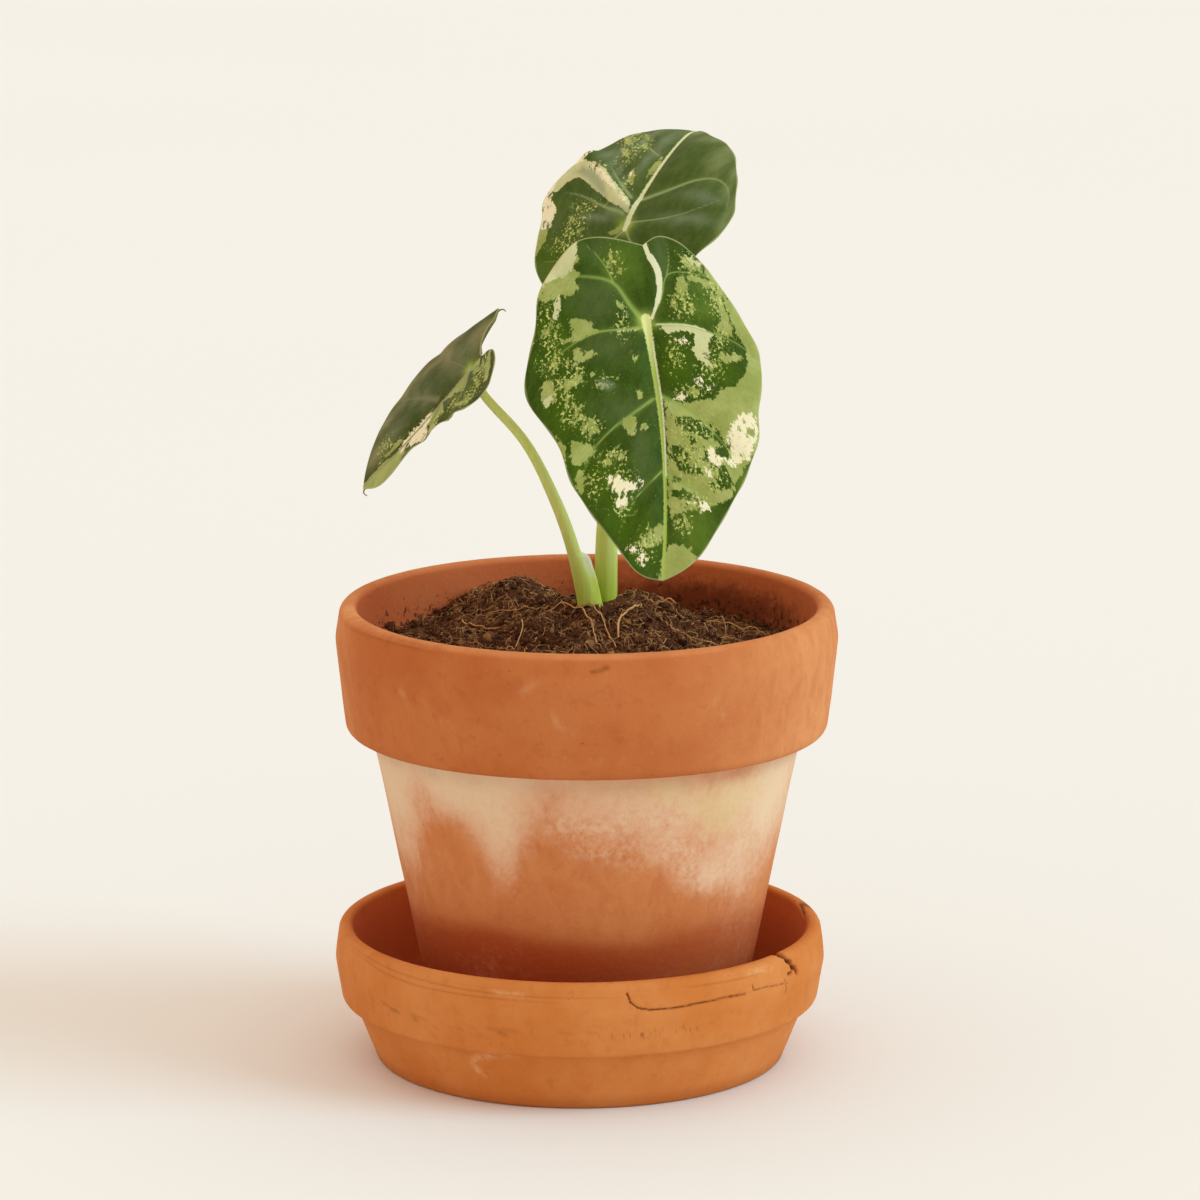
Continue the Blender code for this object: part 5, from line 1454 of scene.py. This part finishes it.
def leafFinish(name, blade, underside):
    # Coats of green by zones, among them painted light through the leaf and painted sheen, then specks,
    # splashes with frayed edges, veins, midrib and margin
    tones, look = blade["tones"], leafLook
    leaf = Finish(name, 0.55, 0.07, subsurface=0.08, reach=(0.8, 1.0, 0.1))
    place = put(leaf.tree, "UVMap", uv_map="flat")
    x, y, _ = axes(place)
    # The splashes fray along the side veins, which run out and towards the tip in both halves
    across = abs(y)
    brushed = put(leaf.tree, "CombineXYZ", {0: (x + across) * 0.3, 1: (x - across) * 0.7, 2: y})
    fray = grain(brushed, 1.1, 8.0, 0.72)
    middle = grain(brushed, 2.4, 4.0, 0.6)
    large = grain(brushed, 1.9, 8.0, 0.74)
    threads = grain(put(leaf.tree, "Mapping", {"Vector": brushed, "Scale": (0.5, 2.2, 1.0)}), 0.9, 3.0, 0.6)
    small = grain(place, 0.75, 5.0, 0.66)
    fine = grain(place, 0.5, 3.0, 0.6)
    slow = grain(place, 6.0, 3.0, 0.5)

    # Living green: deep, with brighter zones of painted light through the leaf, greyer zones of painted
    # sheen, and more olive zones
    leaf.colour = leaf.mix(level(middle, 0.35, 0.68), tones["deep"], tones["mid"])
    for key, strength in (("glow", 0.9), ("grey", 0.8), ("olive", 0.85)):
        leaf.coat(leaf.field(key) * level(middle, 0.2, 0.6, 0.6 * strength, strength), tones[key])
    leaf.coat(level(fine, 0.35, 0.75, 0.0, 0.16), look["fresh"])

    # Specks of two sizes and holes in the splashes, the more the stronger their field
    specks = leaf.field("specks")
    fleck = level(small - level(specks, 0.03, 1.0, 0.70, 0.55), -0.012, 0.016)
    blot = level(large - level(specks, 0.05, 1.0, 0.70, 0.545), -0.006, 0.01)
    holes = level(level(specks, 0.05, 1.0, 0.30, 0.455) - large, -0.008, 0.01)
    torn = level(0.44 - large, -0.01, 0.02)
    edge = (fray - 0.5) * blade["fray"] + (small - 0.5) * 0.9

    def splash(key, weight=1.0, gaps=holes):
        # 1 inside the outline, which the frayed edge moves in and out, and 0 in the gaps
        return level(leaf.field(key) + edge * weight, -0.05, 0.07) * (1.0 - gaps)

    pale = leaf.mix(level(slow, 0.38, 0.62), look["pale"], look["paleWarm"])
    pale = leaf.mix(level(threads, 0.42, 0.68, 0.0, 0.4), pale, look["thread"])
    leaf.coat(splash("pale"), pale)
    leaf.coat(blot, look["pale"])
    leaf.coat(fleck, look["speck"])
    butter = leaf.mix(level(middle, 0.35, 0.65, 0.0, 0.5), look["butter"], look["butterDark"])
    leaf.coat(splash("butter", 0.8), butter)
    leaf.coat(splash("cream", 1.5, torn), look["cream"])
    # Painted sheen: silver-grey patches where the lights reflect off the leaf
    leaf.coat(level(leaf.field("sheen"), -0.8, 1.0, 0.0, 0.6), look["silverSheen"])

    # Veins, midrib and the white stripe, then the leaf's edge
    leaf.coat(level(leaf.field("vein"), 0.0, 1.0, 0.0, 0.85), tones["vein"])
    leaf.coat(leaf.field("star") * 0.8, look["star"])
    frayed = (fine - 0.5) * 0.7
    leaf.coat(level(leaf.field("rib") + frayed, -0.14, 0.24),
              leaf.mix(level(x, 14.0, -2.0), tones["rib"], tones["ribRoot"]))
    leaf.coat(level(leaf.field("white") + frayed * 0.5, -0.12, 0.14), look["white"])
    leaf.coat(level(leaf.field("away"), 0.34, 0.1, 0.0, 0.6), look["margin"])
    if underside:
        leaf.coat(0.62, look["under"])
    return leaf.done(fine + grain(place, 0.3, 2.0, 0.5) * 0.6, 0.04)


def bladePiece(name):
    # Two halves as grids from the midrib to the edge, bent by bladePoint, with an upper and a lower
    # sheet set off along the normal and joined by a strip round the margin
    blade = bladeShapes[name]
    spokes, rings = blade["spokes"], blade["rings"]
    part = np.linspace(0, 1, spokes)
    startX = (blade["length"] - 1.5) * np.clip(1 - part / 0.45, 0, 1) ** 1.15
    start = np.stack((startX, midribY(blade, startX)), -1)[:, None]
    out = (np.linspace(0, 1, rings) ** 0.92)[None, :, None]
    ripple = (0.16 * np.sin(part * 61 + 2) * np.sin(pi * part))[:, None, None]
    half = spokes * rings
    flats, quads, margins = [], [], []
    for key, first, turned in (("minus", 0, 1), ("plus", half, -1)):
        edge = curveAlong(blade[key], part)[:, None]
        outward = (edge - start) / np.maximum(np.linalg.norm(edge - start, axis=-1), 1)[..., None]
        flats.append((start * (1 - out) + (edge + outward * ripple) * out).reshape(-1, 2))
        quads.append((gridQuads(spokes, rings) + first)[:, ::turned])
        rim = first + np.arange(spokes) * rings + rings - 1
        here, ahead = rim[:-1], rim[1:]
        margins.append(np.stack((here, ahead, ahead + 2 * half, here + 2 * half), -1)[:, ::-turned])
    flat, quads = np.concatenate(flats), np.concatenate(quads)
    x, y = flat.T
    step = 0.25
    normal = unit(np.cross(bladePoint(blade, x + step, y) - bladePoint(blade, x - step, y),
                           bladePoint(blade, x, y + step) - bladePoint(blade, x, y - step)))
    along, offRib = midribDistance(blade, x, y)
    toEdge = np.tile(np.arange(rings), 2 * spokes) / (rings - 1)
    thin = leafLook["thickness"] / 2 * (1 - 0.75 * smoothStep(toEdge, 0.93, 1.0))
    below = leafLook["midribRise"] * (1 - 0.8 * along / blade["length"]) * bell(offRib, 0.9)
    underVein, veins = np.zeros(len(flat)), np.zeros(len(flat))
    for width, line in blade["veins"]:
        away, run = lineDistance(x, y, smoothLine(line))
        underVein = np.maximum(underVein, bell(away, 0.5) * 0.3 * (1 - 0.7 * run))
        sharp = bell(away, 0.36 * width * (1 - 0.45 * run)) * (1 - 0.5 * run)
        veins = np.maximum(veins, sharp + 0.26 * bell(away, 1.5) * (1 - run))
    middle = bladePoint(blade, x, y)
    upper = middle + normal * thin[:, None]
    lower = middle - normal * (thin + below + underVein)[:, None]

    wide, narrow = blade["ribWidth"]
    edges = [lineDistance(x, y, smoothLine(blade[key], 90))[0] for key in ("minus", "plus")]
    fields = splashFields(blade, x, y)
    fields.update(rib=narrow + (wide - narrow) * np.exp(-along / 18.0) - offRib, vein=veins,
                  star=bell(np.hypot(x - 0.6, y + 0.3), 1.9), away=np.minimum(*edges))
    sheets = np.concatenate((quads, quads[:, ::-1] + 2 * half, *margins))
    ofLower = np.zeros(len(sheets))
    ofLower[len(quads):2 * len(quads)] = 1
    made = makePiece(name + "Leaf", np.concatenate((upper, lower)), sheets,
                     finishes=[leafFinish(name + "Upper", blade, False),
                               leafFinish(name + "Under", blade, True)],
                     faceFinish=ofLower, flat=np.concatenate((flat, flat)),
                     fields={key: np.tile(value, 2) for key, value in fields.items()})
    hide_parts(name)


# Thin dry tips of the left leaf: a place on the flat leaf, then steps from it in mm
dryTips = {
    "routes": (
        ((38.2, 0), ((0, 0, 0.3), (-0.2, 0, -0.6), (-0.35, 0, -1.2), (0, 0, -1.7), (0.5, 0, -2))),
        ((-10.3, -9.7), ((0, 0, -0.2), (0.5, 0, 0.3), (1, 0, 0.5), (1.5, 0, 0.4), (1.9, 0, 0))),
    ),
    "radii": (0.22, 0.1), "steps": 14, "dark": (128, 102, 62), "light": (160, 136, 92),
}


def dryTipPiece():
    # Threads along the steps, thinner towards their ends, in two browns
    steps, blade = dryTips["steps"], bladeShapes["blade_left"]
    starts, moves = zip(*dryTips["routes"])
    starts = bladePoint(blade, *np.array(starts).T)
    routes = np.array([smoothLine(start + np.array(move), steps) for start, move in zip(starts, moves)])
    widths = np.linspace(*dryTips["radii"], steps) * np.ones((len(routes), 1))
    dry = Finish("dryTip", 0.7, 0.1)
    dry.colour = dry.mix(level(grain(dry.place(), 0.6), 0.3, 0.7), dryTips["dark"], dryTips["light"])
    piece = threadPiece("leafTips", routes, widths, 8, dry.done())


stageLook = {
    "floor": (239, 239, 238), "floorLight": (240, 240, 238), "floorRadius": 9,  # in metres
    "world": (1.0, 0.865, 0.725), "worldStrength": 0.985,
    "cameraSide": 0.86,  # how bright the surroundings are on the camera's side, against the other sides
    "keyStrength": 1.6, "keyColour": (0.50, 0.82, 1.0), "keySoftness": 34, "keyHeight": 30, "keyTurn": 15,
}
cameraView = {"place": (2.88, -1051.0, 312.0), "pitch": 11.3, "lens": 147.0}


def stageObject(name, data, turn=(0, 0, 0)):
    # An object in the scene, turned by angles in degrees
    made = bpy.data.objects.new(name, data)
    made.rotation_euler = [radians(angle) for angle in turn]
    bpy.context.scene.collection.objects.link(made)
    return made


def stage():
    # A round pale floor, soft surroundings with a little less light from the camera's side, and a
    # wide soft key light; then the camera at the photo's angle
    look, scene = stageLook, bpy.context.scene
    mesh = bpy.data.meshes.new("floor")
    turn = fullTurn(96)
    ring = np.stack((np.cos(turn), np.sin(turn), 0 * turn), -1) * look["floorRadius"]
    mesh.from_pydata(ring.tolist(), [], [tuple(range(len(ring)))])
    pale = Finish("paleFloor", 0.9, 0.1)
    clouds = level(grain(pale.place(), 900.0, 1.0), 0.3, 0.7)
    pale.colour = pale.mix(clouds, look["floor"], look["floorLight"])
    mesh.materials.append(pale.done())
    floor = stageObject("floor", mesh)

    world = bpy.data.worlds.new("studio")
    scene.world = world
    world.use_nodes = True
    sky = world.node_tree.nodes["Background"]
    sky.inputs["Color"].default_value = (*look["world"], 1.0)
    direction = axes(put(world.node_tree, "TexCoord", output="Generated"))[1]
    full = look["worldStrength"]
    strength = level(direction, -0.9, 0.3, look["cameraSide"] * full, full)
    world.node_tree.links.new(strength.socket, sky.inputs["Strength"])

    key = bpy.data.lights.new("key", "SUN")
    key.energy = look["keyStrength"]
    key.color = look["keyColour"]
    key.angle = radians(look["keySoftness"])
    stageObject("key", key, (90 - look["keyHeight"], 0, 90 - look["keyTurn"]))

    camera = bpy.data.cameras.new("camera")
    camera.lens = cameraView["lens"]
    camera.sensor_width = 36
    camera.clip_start, camera.clip_end = 0.05, 40
    scene.camera = stageObject("camera", camera, (90 - cameraView["pitch"], 0, 0))
    scene.camera.location = [part * mm for part in cameraView["place"]]
    scene.view_settings.view_transform = "Standard"


stage()
print("stage ready")
potPiece()
saucerPiece()
print("clay turned")
soilDraw = np.random.default_rng(soilShape["seed"])
soilBed = soilFinish("pottingSoil", False)
dressNode("soil", soilBed)
soilSurface(soilBed)
soilCrumbs(soilDraw, soilFinish("looseSoil", True))
soilFibres(soilDraw)
soilRoots()
dressNode("rootstock", cormFinish())
print("soil filled in")
for stalkName in stalkShapes:
    stalkPiece(stalkName)
print("stalks grown")
for bladeName in bladeShapes:
    bladePiece(bladeName)
    print(bladeName, "unfolded")
dryTipPiece()
